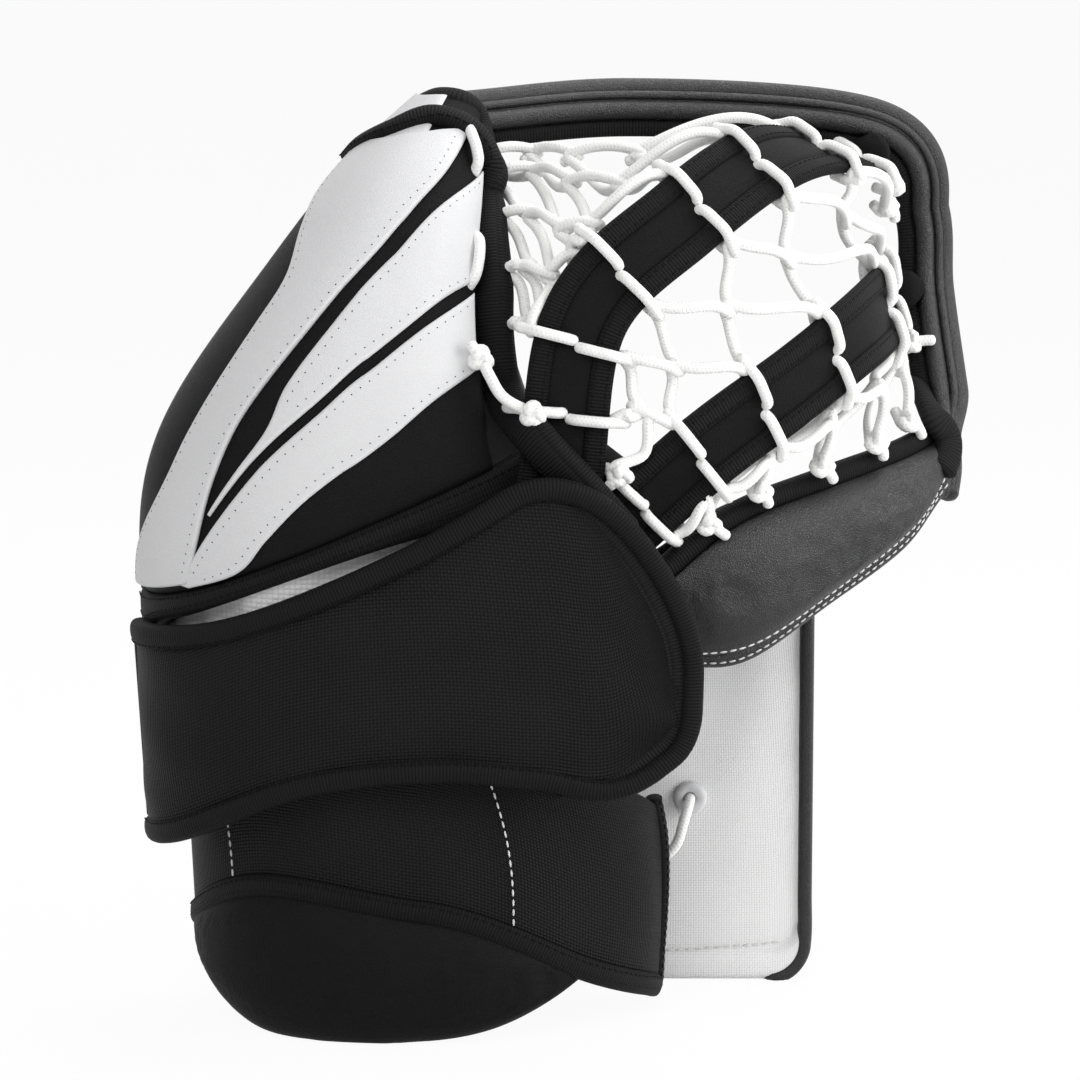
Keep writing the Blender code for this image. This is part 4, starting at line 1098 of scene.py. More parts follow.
def make_finger_edge():
    """Rolled tape up the pocket side of the fingers and over the fingertips."""
    reach = line(*EDGE_ROLL_REACH, 11)
    centre, sideways, outward = basket_frame(reach, np.zeros(11))
    across, up = np.array(FINGERTIP_TAPE).T
    over = lifted(finger_surface, across, up, finger_outer(across, up) + 0.0018)
    away = np.interp(reach, *EDGE_ROLL_AWAY)
    beside = centre - sideways * away[:, None] + outward * 0.002
    path = curve_through(np.concatenate([FINGER_EDGE_FOOT, beside, over]))
    foot_out = np.repeat(outward[:1], len(FINGER_EDGE_FOOT), axis=0)
    ends = np.concatenate([foot_out, outward, normals(finger_surface, across, up)])
    ups = spread_over(ends, len(path))
    form = Form()
    taper = np.interp(line(0, 1, len(path)), *FINGER_EDGE_TAPER)
    low_taper = taper ** 0.5
    side, rise = add_band(form, path, EDGE_ROLL[0] * taper, EDGE_ROLL[1] * low_taper, ups, 24, 2.5)
    cord = path + (side * EDGE_CORD_PLACE[0] + rise * EDGE_CORD_PLACE[1]) * taper[:, None]
    add_band(form, cord, EDGE_CORD[0] * taper, EDGE_CORD[1] * taper, ups, 18, 2.0)
    form.piece("finger_edge_roll", "black_binding", "hand", ("finger_edge_roll",))
    beside_cord = side * (EDGE_SEAM_PLACE[0] * taper)[:, None]
    seam("hand", "black", path + beside_cord + rise * (EDGE_SEAM_PLACE[1] * low_taper)[:, None])


def make_fingertip():
    """Second tape behind the fingertips, and the white leather between the two."""
    across, up = np.array(FINGERTIP_LOOP).T
    path = curve_through(lifted(finger_surface, across, up, FINGER_THICK * 0.6))
    form = Form()
    ups = spread_over(normals(finger_surface, across, up), len(path))
    add_band(form, path, *FINGERTIP_BAND, ups, 20, 2.4)
    form.piece("fingertip_binding", "black_binding", "hand", ("fingertip_binding",))
    sheet_piece("fingertip_patch", finger_surface, (40, 12), lambda a, v: finger_outer(a, v) - 0.0005,
                lambda a, v: finger_outer(a, v) + OVERLAY, "white_leather", "hand", (), OVERLAY_ROUND,
                **FINGERTIP_PATCH)


def make_liner():
    def quilt(across, up):
        ridge = np.abs(np.sin(np.pi * across * LINER_RIDGES)) ** 0.5
        aside = (across - LINER_PAD_ACROSS[0]) / LINER_PAD_ACROSS[1]
        above = (up - LINER_PAD_UP[0]) / LINER_PAD_UP[1]
        pad = np.exp(-aside ** 4 - above ** 4)
        return 0.0004 + 0.0022 * ridge * (1 - pad) + 0.0062 * pad

    liner = sheet_piece("hand_liner", liner_surface, (160, 60), -0.004, quilt, "white_liner", "hand",
                        ("hand_liner",), 0.003)
    for name, turn in DIVIDERS.items():
        make_divider(name, turn)


def make_divider(name, turn):
    """Thin wall between two fingers."""
    share = (turn - FINGER_SPAN[0]) / (FINGER_SPAN[1] - FINGER_SPAN[0])

    def wall(depth, up):
        height = blend(*DIVIDER_HEIGHTS, up)
        back = lifted(hand_form, np.full_like(height, turn), height, -0.006)
        part = (height - FACE_HEIGHTS[0]) / (FACE_HEIGHTS[1] - FACE_HEIGHTS[0])
        front = lifted(face_surface, np.full_like(height, share), part, FACE_BOARD + 0.002)
        return blend(back, front, depth[..., None])

    sheet_piece(name, wall, (14, 20), -0.0012, 0.0012, "white_liner", "hand", (name,), 0.0015)


def make_wrist():
    def soft(across, up):
        return LAYER_GAP + BAND_THICK + 0.0012 * crown(across, up) + 0.0006 * np.sin(14 * across + 5 * up)

    band = sheet_piece("wrist_band", band_surface, (150, 60), LAYER_GAP, soft, "black_nylon", "hand",
                       ("wrist_band",), 0.0025)
    middle = LAYER_GAP + BAND_THICK / 2
    across = np.concatenate([line(0.0, 1.0, 26), np.full(6, 1.0)])
    up = np.concatenate([np.zeros(26), line(0.12, 1.0, 6)])
    path, ups = dense_edge(band_surface, across, up, middle, 0.0040)
    side, rise = band_piece("wrist_band_binding", path, *BAND_BINDING, "black_binding", "hand",
                            ("wrist_band_binding",), ups, power=3.0)[1:]
    for offset in (0.0036, -0.0016):
        seam("hand", "black", path - side * offset + rise * 0.0038)
    for x in BAND_SEAMS_X:
        places = line(0, 1, 400)
        across = np.interp(x, band_surface(places, np.full(400, 0.4))[:, 0], places)
        surface_seam("hand", "white", band_surface, np.full(8, across), line(0.04, 0.74, 8),
                     LAYER_GAP + BAND_THICK + 0.0016)
    low = 2 * LAYER_GAP + BAND_THICK
    sheet_piece("loop_patch", band_surface, (20, 16), low, low + 0.002, "black_binding", "hand",
                ("loop_patch",), 0.001, **LOOP_PATCH)
    make_wrist_pad()


def make_wrist_pad():
    def outer(across, up):
        return PAD_SWELL[0] + PAD_SWELL[1] * crown(across, up, 3)

    pad = sheet_piece("wrist_pad", pad_surface, (90, 40), 0.0006, outer, "matte_leather", "hand",
                      ("wrist_pad",), 0.004)
    puff(pad, pad_surface, PAD_PUFF)
    keep_above_floor(pad)


def make_wrist_strap():
    def full(across, up):
        ripple = 0.0007 * np.sin(17 * across + 4 * up) * np.sin(9 * up + 3 * across)
        return STRAP_THICK + 0.0034 * crown(across, up) + ripple

    panel = sheet_piece("strap_panel", strap_surface, (150, 70), 0.0, full, "black_nylon", "strap",
                        ("strap_panel",), 0.003, **STRAP_UNDER_BINDING)
    middle = STRAP_THICK / 2 + 0.0005
    across = np.concatenate([line(0.01, 0.985, 40), np.full(5, 1.0), line(0.985, 0.01, 40)])
    up = np.concatenate([np.ones(40), line(0.80, 0.20, 5), np.zeros(40)])
    path, ups = dense_edge(strap_surface, across, up, middle, STRAP_BINDING_AWAY)
    share = line(0, 1, len(path))
    lobe = np.exp(-((share - 0.5) / LOBE_SPREAD) ** 4)
    side = frames(path, ups)[1]
    half, height = STRAP_PANEL_EDGE
    band_piece("strap_panel_edge", path - side * 0.0010 * lobe[:, None], half + 0.0055 * lobe, height,
               "black_nylon", "strap", (), ups, power=4.0)
    path = path - side * LOBE_ROLL_SHIFT * lobe[:, None]
    half, height = STRAP_BINDING
    nodes = ("strap_upper_binding", "strap_lower_binding", "strap_lobe_roll")
    side, rise = band_piece("strap_binding", path, half - 0.0006 * lobe, height + 0.0008 * lobe,
                            "black_binding", "strap", nodes, ups, power=2.7)[1:]
    seam("strap", "black", path + side * 0.0040 + rise * 0.0046)
    hinge = edge_line(strap_surface, np.zeros(3), line(0.0, 1.0, 3), STRAP_THICK / 2, -0.0044)[0]
    band_piece("strap_hinge_roll", curve_through(hinge), HINGE_ROLL, HINGE_ROLL, "black_nylon", "strap",
               ("strap_hinge_roll",))
    sheet_piece("hook_patch", strap_surface, (20, 16), -0.0028, -0.0006, "black_binding", "strap",
                ("hook_patch",), 0.001, **HOOK_PATCH)
    make_anchor(hinge)


def make_anchor(hinge):
    """Sewn tab that ties the hinge roll to the wrist band."""
    def tab(depth, up):
        height = blend(*ANCHOR_HEIGHTS, up)
        share = (height - hinge[0, 2]) / (hinge[-1, 2] - hinge[0, 2])
        axis = blend(hinge[0], hinge[-1], share[..., None])
        turn = np.full_like(height, ANCHOR_TURN)
        foot = lifted(hand_form, turn, height, 0.005)
        return blend(foot, axis, depth[..., None])

    sheet_piece("anchor_tab", tab, (10, 24), -0.0025, 0.0025, "black_nylon", "hand", ("anchor_tab",), 0.002)


class StrapLine:
    """Centre line of a T-strap from the crotch over the rim, with its directions."""

    def __init__(self, share):
        reach = line(*STRAP_REACH, 40)
        centre, sideways = basket_frame(reach, np.full(40, share))[:2]
        rim, out, far = rim_frame(np.array([share]))
        ends = np.stack([rim[0] + out[0] * a - far[0] * b for a, b in STRAP_END_OVER_RIM])
        self.path = curve_through(np.concatenate([centre, ends]), 0.0015)
        run = run_length(self.path, 0)
        self.run = run / run[-1]
        basket_run = run_length(np.concatenate([centre, ends]), 0)
        self.reach_knots = np.concatenate([reach, STRAP_END_REACHES])
        self.run_knots = basket_run / basket_run[-1]
        tangent = unit(np.gradient(self.path, axis=0))
        hint = sideways[np.minimum((self.run * 40).astype(int), 39)]
        hint = hint - tangent * np.sum(hint * tangent, axis=1, keepdims=True)
        kernel = np.ones(15) / 15
        padded = np.pad(hint, ((7, 7), (0, 0)), mode="edge")
        hint = np.stack([np.convolve(padded[:, k], kernel, "valid") for k in range(3)], axis=1)
        self.side = unit(hint - tangent * np.sum(hint * tangent, axis=1, keepdims=True))
        self.out = np.cross(self.side, tangent)

    def at(self, reach):
        place = np.interp(reach, self.reach_knots, self.run_knots)
        k = int(np.clip(np.searchsorted(self.run, place), 0, len(self.path) - 1))
        return self.path[k], self.side[k], self.out[k]

    def joint(self, reach, edge):
        """Where a net hooks onto the strap's lace beside one of its edges."""
        place, side, out = self.at(reach)
        return place + side * edge * (STRAP_HALF + 0.0042) - out * 0.0005, side, out


def rim_frame(share):
    ones = np.ones(len(share))
    centre = basket(ones, share)
    tangent = unit(basket(ones, share + RIM_STEP) - basket(ones, share - RIM_STEP))
    out = unit(np.cross(tangent, np.array((0.0, 1.0, 0.0))))
    return centre, out, np.cross(out, tangent)


def make_t_strap(name, share, body):
    """Leather strap with woven bindings; its leather end lies over the rim."""
    strap = StrapLine(share)
    path, side, out = strap.path, strap.side, strap.out
    ending = np.clip((strap.run - STRAP_TAPE_END) / (1 - STRAP_TAPE_END), 0, 1)
    tip = np.clip((ending - STRAP_ROUND_END) / (1 - STRAP_ROUND_END), 0, 1)
    bulge = np.sin(np.pi * np.clip(ending / STRAP_ROUND_END, 0, 1) / 2)
    width = (STRAP_CORE_HALF + STRAP_END_WIDER[name] * bulge) * np.sqrt(1 - 0.94 * tip ** 2)
    band_piece(name + "_core", path, width, 0.0021 + 0.0008 * ending, "matte_leather", body,
               (name + "_core",), out, 28, 3.6)
    taped = strap.run < STRAP_TAPE_END + 0.02
    for edge, part in ((-1, "_finger_binding"), (1, "_thumb_binding")):
        centre = (path + side * edge * STRAP_TAPE_PLACE)[taped]
        band_piece(name + part, centre, *STRAP_TAPE, "black_binding", body, (name + part,), out[taped],
                   22, 3.4)
        for offset in (-STRAP_TAPE_SEAM, STRAP_TAPE_SEAM):
            seam(body, "black", centre + side[taped] * offset + out[taped] * 0.0029)
    return strap


def add_lace(form, points):
    radius = look().lace_diameter / 2
    add_band(form, curve_through(points, 0.0016), radius, radius, None, 12)


def add_crossing(form, strap, reach, edge):
    """Half a lace row on a strap: out of the hole, over the edge, round the net and back below."""
    place, side, out = strap.at(reach)
    aside = side * edge
    forward = unit(np.cross(side, out)) * 0.0012 * edge
    add_lace(form, [place + aside * far + out * high + forward for far, high in CROSSING])


def add_zigzag(form, left, right):
    """One strand between two columns of joints, which hooks round the strands beside it."""
    diameter = look().lace_diameter
    stops = []
    for pair in zip(left, right):
        stops.extend(((pair[0], -1), (pair[1], 1)))
    points = []
    for k, ((place, side, out), hand) in enumerate(stops):
        before = stops[k - 1 if k else 1][0][0]
        after = stops[k + 1 if k < len(stops) - 1 else k - 1][0][0]
        high = 0.62 * diameter * hand
        points.append(place + unit(before - place) * diameter + out * high)
        points.append(place + side * hand * 0.55 * diameter)
        points.append(place + unit(after - place) * diameter - out * high)
    add_lace(form, points)


def add_knot(form, place, out, tail):
    """Tight knot with a cut end."""
    size = look().lace_diameter * 0.62
    turn = np.linspace(0.3, 2 * np.pi - 0.2, 40)
    first = unit(np.cross(out, np.array((0.0, 0.0, 1.0))))
    second = np.cross(out, first)
    x = (np.sin(turn) + 2 * np.sin(2 * turn)) * 0.42 * size
    y = (np.cos(turn) - 2 * np.cos(2 * turn)) * 0.42 * size
    z = -np.sin(3 * turn) * 0.7 * size
    loop = place + out * size + first * x[:, None] + second * y[:, None] + out * z[:, None]
    radius = look().lace_diameter / 2
    add_band(form, curve_through(loop, 0.0012), radius, radius, None, 12)
    add_lace(form, [place + out * size, place + out * 1.5 * size + tail * 0.5, place + out * size + tail])


def joints(table):
    reach, share = np.asarray(table).T
    centre, side, out = basket_frame(reach, share)
    return list(zip(centre, side, out))


def make_pocket():
    first = make_t_strap("t_strap_finger", BASKET_SHARES[2], "hand")
    second = make_t_strap("t_strap_thumb", BASKET_SHARES[4], "thumb")
    make_strap_root()
    make_finger_net(first)
    make_middle_net(first, second)
    make_thumb_net(second)


def make_strap_root():
    """Soft leather between the lower ends of the two straps."""
    root = sheet_piece("strap_root", four_corners(ROOT_CORNERS), (24, 24), -0.0015, 0.0015,
                       "black_leather", None)
    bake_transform(root)


def add_laced_columns(form, columns, strap, rows):
    """Strands between the columns of joints, and the lace rows over the strap."""
    for left, right in zip(columns, columns[1:]):
        add_zigzag(form, left, right)
    for reach in rows + (STRAP_END_ROW,):
        for edge in (-1, 1):
            add_crossing(form, strap, reach, edge)


def make_finger_net(strap):
    form = Form()
    columns = [joints(table) for table in FINGER_JOINTS]
    columns.append([strap.joint(reach, -1) for reach in FIRST_STRAP_ROWS[1:]])
    add_laced_columns(form, columns, strap, FIRST_STRAP_ROWS)
    place = lifted(finger_surface, *KNOT_PLACE, 0.0165)[0]
    hook, side, out = strap.joint(FIRST_STRAP_ROWS[0], -1)
    end = hook + side * 0.009 + out * 0.006
    bends = [blend(place, hook, share) + out * high for share, high in KNOT_LACE_BENDS]
    add_lace(form, [place, *bends, end])
    add_knot(form, place, out, np.array((-0.004, 0.0, 0.006)))
    add_knot(form, end, out, np.array((0.003, 0.0, -0.006)))
    place, side, out = strap.at(0.02)
    add_knot(form, place + side * 0.008 + out * 0.004, out, np.array((0.004, 0.0, -0.004)))
    add_panel_laces(form)
    form.piece("net_finger", "white_lace", "hand", ("net_finger",))


def add_panel_laces(form):
    """Lace stitches that tie the fingertip and the side of the finger panel to the pocket."""
    for start, end in PANEL_LACES:
        across = line(start[0], end[0], 6)
        up = line(start[1], end[1], 6)
        lift = finger_outer(across, up) + PANEL_LACE_HEIGHTS
        add_lace(form, lifted(finger_surface, across, up, lift))


def make_middle_net(first, second):
    form = Form()
    left = [first.joint(reach, 1) for reach in FIRST_STRAP_ROWS]
    middle = joints(MIDDLE_JOINTS)
    right = [second.joint(reach, -1) for reach in SECOND_STRAP_ROWS[1:] + (STRAP_END_ROW,)]
    add_zigzag(form, left, middle)
    add_zigzag(form, middle, right)
    place, side, out = middle[-1]
    add_knot(form, place, out, np.array((0.003, 0.0, -0.006)))
    made = form.piece("net_middle", "white_lace")
    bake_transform(made)
    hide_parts("net_middle_finger_half", "net_middle_thumb_half")


def make_thumb_net(strap):
    form = Form()
    columns = [[strap.joint(reach, 1) for reach in SECOND_STRAP_ROWS]]
    columns += [joints(table) for table in THUMB_JOINTS]
    add_laced_columns(form, columns, strap, SECOND_STRAP_ROWS)
    for k, (place, side, out) in enumerate(columns[-1]):
        tail = side * 0.005 + np.array((0.005 - 0.002 * (k % 2), 0.0, -0.002))
        add_knot(form, place + side * 0.001, out, tail)
    place, side, out = strap.joint(0.11, -1)
    add_knot(form, place + out * 0.004, out, np.array((-0.005, 0.0, -0.005)))
    add_lace(form, [place + out * 0.004, place - side * 0.004 + out * 0.006, *ROOT_LACE])
    place, side, out = strap.joint(0.93, 1)
    add_knot(form, place + out * 0.003, out, np.array((0.010, 0.0, 0.001)))
    form.piece("net_thumb", "white_lace", "thumb", ("net_thumb",))


def make_rim():
    """Rolled rim from the fingertip to the thumb tip."""
    share = line(0.0, RIM_END, 130)
    centre, out, far = rim_frame(share)
    ends = basket(np.ones(2), np.array(RIM_FOLD))
    for part, (distance, depth, half_side, half_up, power, finish) in RIM_SECTIONS.items():
        tail = np.array(RIM_TAIL) + out[-1] * distance * 0.35 + far[-1] * depth * 0.5
        whole = centre + out * distance + far * depth
        path = curve_through(whole if part == "tape" else np.concatenate([whole, tail]))
        ups = spread_over(far, len(path))
        made = band_piece("rim_" + part, path, half_side, half_up, finish, None, (), ups, 18, power)[0]
        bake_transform(made)
        if part != "skin":
            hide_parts("rim_top_" + part, "rim_side_" + part)


def make_thumb():
    def outer(reach, up):
        return THUMB_SWELL[0] + THUMB_SWELL[1] * crown(reach, up, 3)

    pad = sheet_piece("thumb_back_pad", thumb_surface, (90, 44), 0.0003, outer, "black_leather", "thumb",
                      ("thumb_back_pad",), 0.004)
    puff(pad, thumb_surface, THUMB_PUFF)
    reach = line(0.02, 0.97, 24)
    hem = np.full(24, THUMB_HEM)
    surface_seam("thumb", "white", thumb_surface, reach, hem, outer(reach, hem) + 0.0002)
    for name, up in THUMB_FOAM.items():
        sheet_piece(name, thumb_surface, (40, 10), -THUMB_DEPTH, -0.0004, "grey_foam", "thumb", (name,),
                    0.003, across=(0.02, 0.98), up=up)
    make_thumb_stall()

    def swollen(reach, up):
        return -THUMB_DEPTH - THUMB_FACE * (0.6 + 0.7 * crown(reach, up, 3))

    face = sheet_piece("thumb_face", thumb_surface, (60, 30), swollen, -THUMB_DEPTH, "black_leather",
                       "thumb", ("thumb_face",), 0.004)
    make_thumb_edges()


def make_thumb_stall():
    """Felt sleeve for the thumb."""
    reach = line(0.04, 0.88, 40)
    path = lifted(thumb_surface, reach, np.full(40, 0.5), -THUMB_DEPTH / 2)
    width = np.linalg.norm(along(THUMB_UPPER, reach) - along(THUMB_LOWER, reach), axis=1)
    ups = normals(thumb_surface, reach, np.full(40, 0.5))
    band_piece("thumb_stall", path, 0.28 * width, THUMB_DEPTH / 2, "grey_felt", "thumb",
               ("thumb_stall",), ups)


def make_thumb_edges():
    reach = line(0.0, 1.0, 24)
    path, ups = dense_edge(thumb_surface, reach, np.zeros(24), -THUMB_DEPTH / 2 + 0.004, 0.0036)
    side, up = band_piece("thumb_welt", path, *THUMB_WELT, "black_leather", "thumb", ("thumb_welt",), ups,
                          power=2.4)[1:]
    seam("thumb", "white", path + side * 0.0014 + up * THUMB_WELT[1])
    path, ups = dense_edge(thumb_surface, reach, np.ones(24), -0.0035, -0.0030)
    side, up = band_piece("thumb_edge_binding", path, *THUMB_BINDING, "black_binding", "thumb",
                          ("thumb_edge_binding",), ups, power=2.6)[1:]
    seam("thumb", "black", path + side * 0.0036 + up * 0.0046)
    rim, out, far = rim_frame(np.array([RIM_END]))
    start = rim + out * 0.002 - far * 0.004
    tip = lifted(thumb_surface, *np.array(TIP_LOOP).T, 0.0050)
    path = curve_through(np.concatenate([start, tip]))
    ups = np.repeat(normals(thumb_surface, np.array([0.98]), np.array([0.5])), len(path), axis=0)
    band_piece("thumb_tip_loop", path, *TIP_LOOP_BAND, "black_binding", "thumb", ("thumb_tip_loop",), ups,
               power=2.6)


def channels(across, count):
    """Rounded channels of a quilted face, with narrow grooves between them."""
    return np.abs(np.sin(np.pi * count * across)) ** 0.4


def make_catching_side():
    sheet_piece("finger_board", face_surface, (40, 40), 0.0, FACE_BOARD, "grey_foam", "hand",
                ("finger_board",), 0.004, up=(0.0, 0.80))

    def quilted(across, up):
        return -LAYER_GAP - LEATHER - 0.0030 * channels(across, FACE_CHANNELS) * crown(across, up)

    face = sheet_piece("finger_face", face_surface, (110, 60), quilted, -LAYER_GAP, "black_leather", "hand",
                       ("finger_face",), 0.003)
    make_palm()
    sheet_piece("crotch_leather", four_corners(CROTCH_CORNERS), (20, 20), 0.0, LEATHER, "black_leather",
                "hand", ("crotch_leather",), 0.0015)
    web = sheet_piece("palm_web", four_corners(WEB_CORNERS), (40, 40), -0.0015, 0.0015, "black_leather",
                      None)
    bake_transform(web)
    make_catching_edges()


def make_palm():
    """Palm leather with sewn channels."""
    surface = four_corners(PALM_CORNERS)

    def quilted(across, up):
        return -LEATHER - 0.0026 * channels(across, PALM_CHANNELS) * crown(across, up)

    palm = sheet_piece("palm_leather", surface, (120, 44), quilted, LEATHER, "black_leather", "hand",
                       ("palm_leather",), 0.003)
    for k in range(1, PALM_CHANNELS):
        surface_seam("hand", "black", surface, np.full(8, k / PALM_CHANNELS), line(0.08, 0.92, 8), -LEATHER)


def make_catching_edges():
    """Tapes over the joins above and below the palm, and rolled edges up the finger face."""
    palm = four_corners(PALM_CORNERS)
    across = line(0.005, 0.995, 16)
    for name, up, beyond in (("palm_top_tape", 1.0, 0.0014), ("palm_base_tape", 0.0, -0.0012)):
        edge = np.full(16, up)
        path = curve_through(lifted(palm, across, edge, -LEATHER - 0.0012) + np.array((0.0, 0.0, beyond)))
        ups = spread_over(-normals(palm, across, edge), len(path))
        side, rise = band_piece(name, path, *PALM_TAPE, "black_binding", "hand", (), ups, 22, 3.4)[1:]
        for offset in (-PALM_TAPE_SEAM, PALM_TAPE_SEAM):
            seam("hand", "black", path + side * offset + rise * PALM_TAPE[1])
    for name, place in (("face_pinky_roll", 0.0), ("face_pocket_roll", 1.0)):
        lift = -LAYER_GAP - LEATHER / 2
        path, ups = dense_edge(face_surface, np.full(16, place), line(0.02, 0.98, 16), lift, 0.0)
        band_piece(name, path, *FACE_ROLL, "black_leather", "hand", (), ups, 18, 2.4)


def make_cuff():
    sheet_piece("cuff_gusset", four_corners(GUSSET_CORNERS), (40, 30), 0.0, LEATHER, "black_nylon", "hand",
                ("cuff_gusset",), 0.002)

    def wrinkled(across, up):
        fold = np.sin(22 * across + 9 * up) * np.sin(6 * across - 14 * up + 1)
        hem = 0.0016 * np.exp(-((up - 0.090) / 0.016) ** 2)
        roll = 0.0022 * np.exp(-((up - 0.040) / 0.040) ** 4)
        folded = 0.0011 * fold * np.clip(up * 1.4 - 0.4, 0, 1)
        return CUFF_LINING + 0.0030 * crown(across, up) + folded + roll - hem

    lining = sheet_piece("cuff_lining", cuff_surface, (140, 110), 0.0, wrinkled, "white_nylon", "hand",
                         ("cuff_lining",), 0.003)
    across = line(0.03, 0.93, 20)
    up = np.full(20, CUFF_HEM_SEAM)
    surface_seam("hand", "white", cuff_surface, across, up, wrinkled(across, up) + 0.0004)
    sheet_piece("cuff_core", cuff_surface, (40, 30), -0.0004 - CUFF_CORE, -0.0002, "grey_foam", "hand",
                ("cuff_core",), 0.001)
    back = -0.0008 - CUFF_CORE

    def bordered(across, up):
        inside = np.minimum(np.minimum(across, 1 - across) * (CUFF_RIGHT - CUFF_LEFT),
                            np.minimum(up, 1 - up) * CUFF_TOP_LEFT)
        groove = 0.0022 * np.exp(-((inside - CUFF_BORDER) / 0.0022) ** 2)
        return back - CUFF_FACE - 0.0050 * crown(across, up) + groove

    face = sheet_piece("cuff_face", cuff_surface, (150, 110), bordered, back, "black_leather", "hand",
                       ("cuff_face",), 0.003)
    make_cuff_edge(back)
    make_cuff_lace()


def make_cuff_edge(back):
    """Leather strip round the free edge of the cuff board."""
    start = CUFF_RIGHT - CUFF_CORNER
    corner = [(start + CUFF_CORNER * math.sin(turn), CUFF_CORNER - CUFF_CORNER * math.cos(turn))
              for turn in np.linspace(0.2, math.pi / 2, 8)]
    outline = corner + [(CUFF_RIGHT, z) for z in np.linspace(0.04, CUFF_TOP_RIGHT, 12)]
    depth = CUFF_NEAR - (back - CUFF_LINING) / 2 - CUFF_LINING
    path = curve_through([(x, depth, z) for x, z in outline])
    ups = np.repeat(TOWARDS_VIEWER, len(path), axis=0)
    trim = band_piece("cuff_edge_trim", path, *CUFF_TRIM, "black_leather", "hand", ("cuff_edge_trim",),
                      ups, 26, 4.0)[0]
    keep_above_floor(trim)


def make_cuff_lace():
    """Round eyelet on the cuff board, and the lace that comes out of it."""
    x, z = BUTTON_PLACE
    front = CUFF_NEAR - CUFF_LINING - 0.0042
    turn = np.linspace(0, 2 * np.pi, 49)
    ring = np.stack([x + BUTTON_RADIUS * np.cos(turn), np.full(49, front),
                     z + BUTTON_RADIUS * np.sin(turn)], axis=1)
    form = Form()
    add_band(form, ring, *BUTTON_BAND, np.repeat(TOWARDS_VIEWER, 49, axis=0), 14)
    form.piece("lace_button", "white_leather", "hand", ("lace_button",))
    route = curve_through(((x, front + 0.003, z), *CUFF_LACE_ROUTE), 0.0012)
    form = Form()
    radius = look().lace_diameter / 2
    add_band(form, route, radius, radius, None, 14)
    cord = form.piece("cuff_lace", "white_lace", "hand", ("cuff_lace",))
    length = float(run_length(route, 0)[-1])


def seen_plainly(tree):
    """1 for rays from the camera, from gloss and through clear material, 0 for rays that carry light."""
    rays = put(tree, "ShaderNodeLightPath")
    seen = maths(tree, "MAXIMUM", rays.outputs["Is Camera Ray"], rays.outputs["Is Transmission Ray"])
    return maths(tree, "MAXIMUM", seen, rays.outputs["Is Glossy Ray"])


def make_stage():
    world = bpy.context.scene.world or bpy.data.worlds.new("studio")
    bpy.context.scene.world = world
    world.use_nodes = True
    tree = world.node_tree
    tree.nodes.clear()
    seen = seen_plainly(tree)
    plain = put(tree, "ShaderNodeBackground", {"Color": WHITE, "Strength": look().ambient})
    white = put(tree, "ShaderNodeBackground", {"Color": WHITE, "Strength": 1.0})
    mixed = put(tree, "ShaderNodeMixShader", {0: seen, 1: plain.outputs[0], 2: white.outputs[0]})
    put(tree, "ShaderNodeOutputWorld", {"Surface": mixed.outputs[0]})
    make_floor()
    make_lights()
    make_camera()


def make_floor():
    mesh = bpy.data.meshes.new("floor")
    corners = ((-1, -1), (1, -1), (1, 1), (-1, 1))
    mesh.from_pydata([(x * FLOOR_REACH, y * FLOOR_REACH, FLOOR_DROP) for x, y in corners], [],
                     [(0, 1, 2, 3)])
    floor = bpy.data.objects.new("floor", mesh)
    bpy.context.scene.collection.objects.link(floor)
    made = bpy.data.materials.new("pale_floor")
    made.use_nodes = True
    tree = made.node_tree
    tree.nodes.clear()
    share = maths(tree, "MULTIPLY", seen_plainly(tree), FLOOR_WHITE)
    paint = put(tree, "ShaderNodeBsdfDiffuse", {"Color": (0.9, 0.9, 0.9, 1)})
    glow = put(tree, "ShaderNodeEmission", {"Color": WHITE, "Strength": 1.0})
    mixed = put(tree, "ShaderNodeMixShader", {0: share, 1: paint.outputs[0], 2: glow.outputs[0]})
    put(tree, "ShaderNodeOutputMaterial", {"Surface": mixed.outputs[0]})
    mesh.materials.append(made)


def aim(made, target):
    made.rotation_euler = (Vector(target) - made.location).to_track_quat("-Z", "Y").to_euler()


def make_lights():
    for name, (place, size, power) in LAMPS.items():
        lamp = bpy.data.lights.new(name, "AREA")
        lamp.size = size
        lamp.energy = look().key_light * power
        made = bpy.data.objects.new(name, lamp)
        made.location = place
        aim(made, LAMP_TARGET)
        bpy.context.scene.collection.objects.link(made)


def make_camera():
    camera = bpy.data.cameras.new("photo")
    camera.lens = CAMERA_LENS
    camera.sensor_width = SENSOR_WIDTH
    camera.sensor_fit = "HORIZONTAL"
    made = bpy.data.objects.new("photo", camera)
    away = Vector((0.0, -math.cos(CAMERA_RISE), math.sin(CAMERA_RISE)))
    made.location = Vector(CAMERA_TARGET) + CAMERA_DISTANCE * away
    aim(made, CAMERA_TARGET)
    bpy.context.scene.collection.objects.link(made)
    bpy.context.scene.camera = made
    bpy.context.scene.view_settings.view_transform = "Standard"


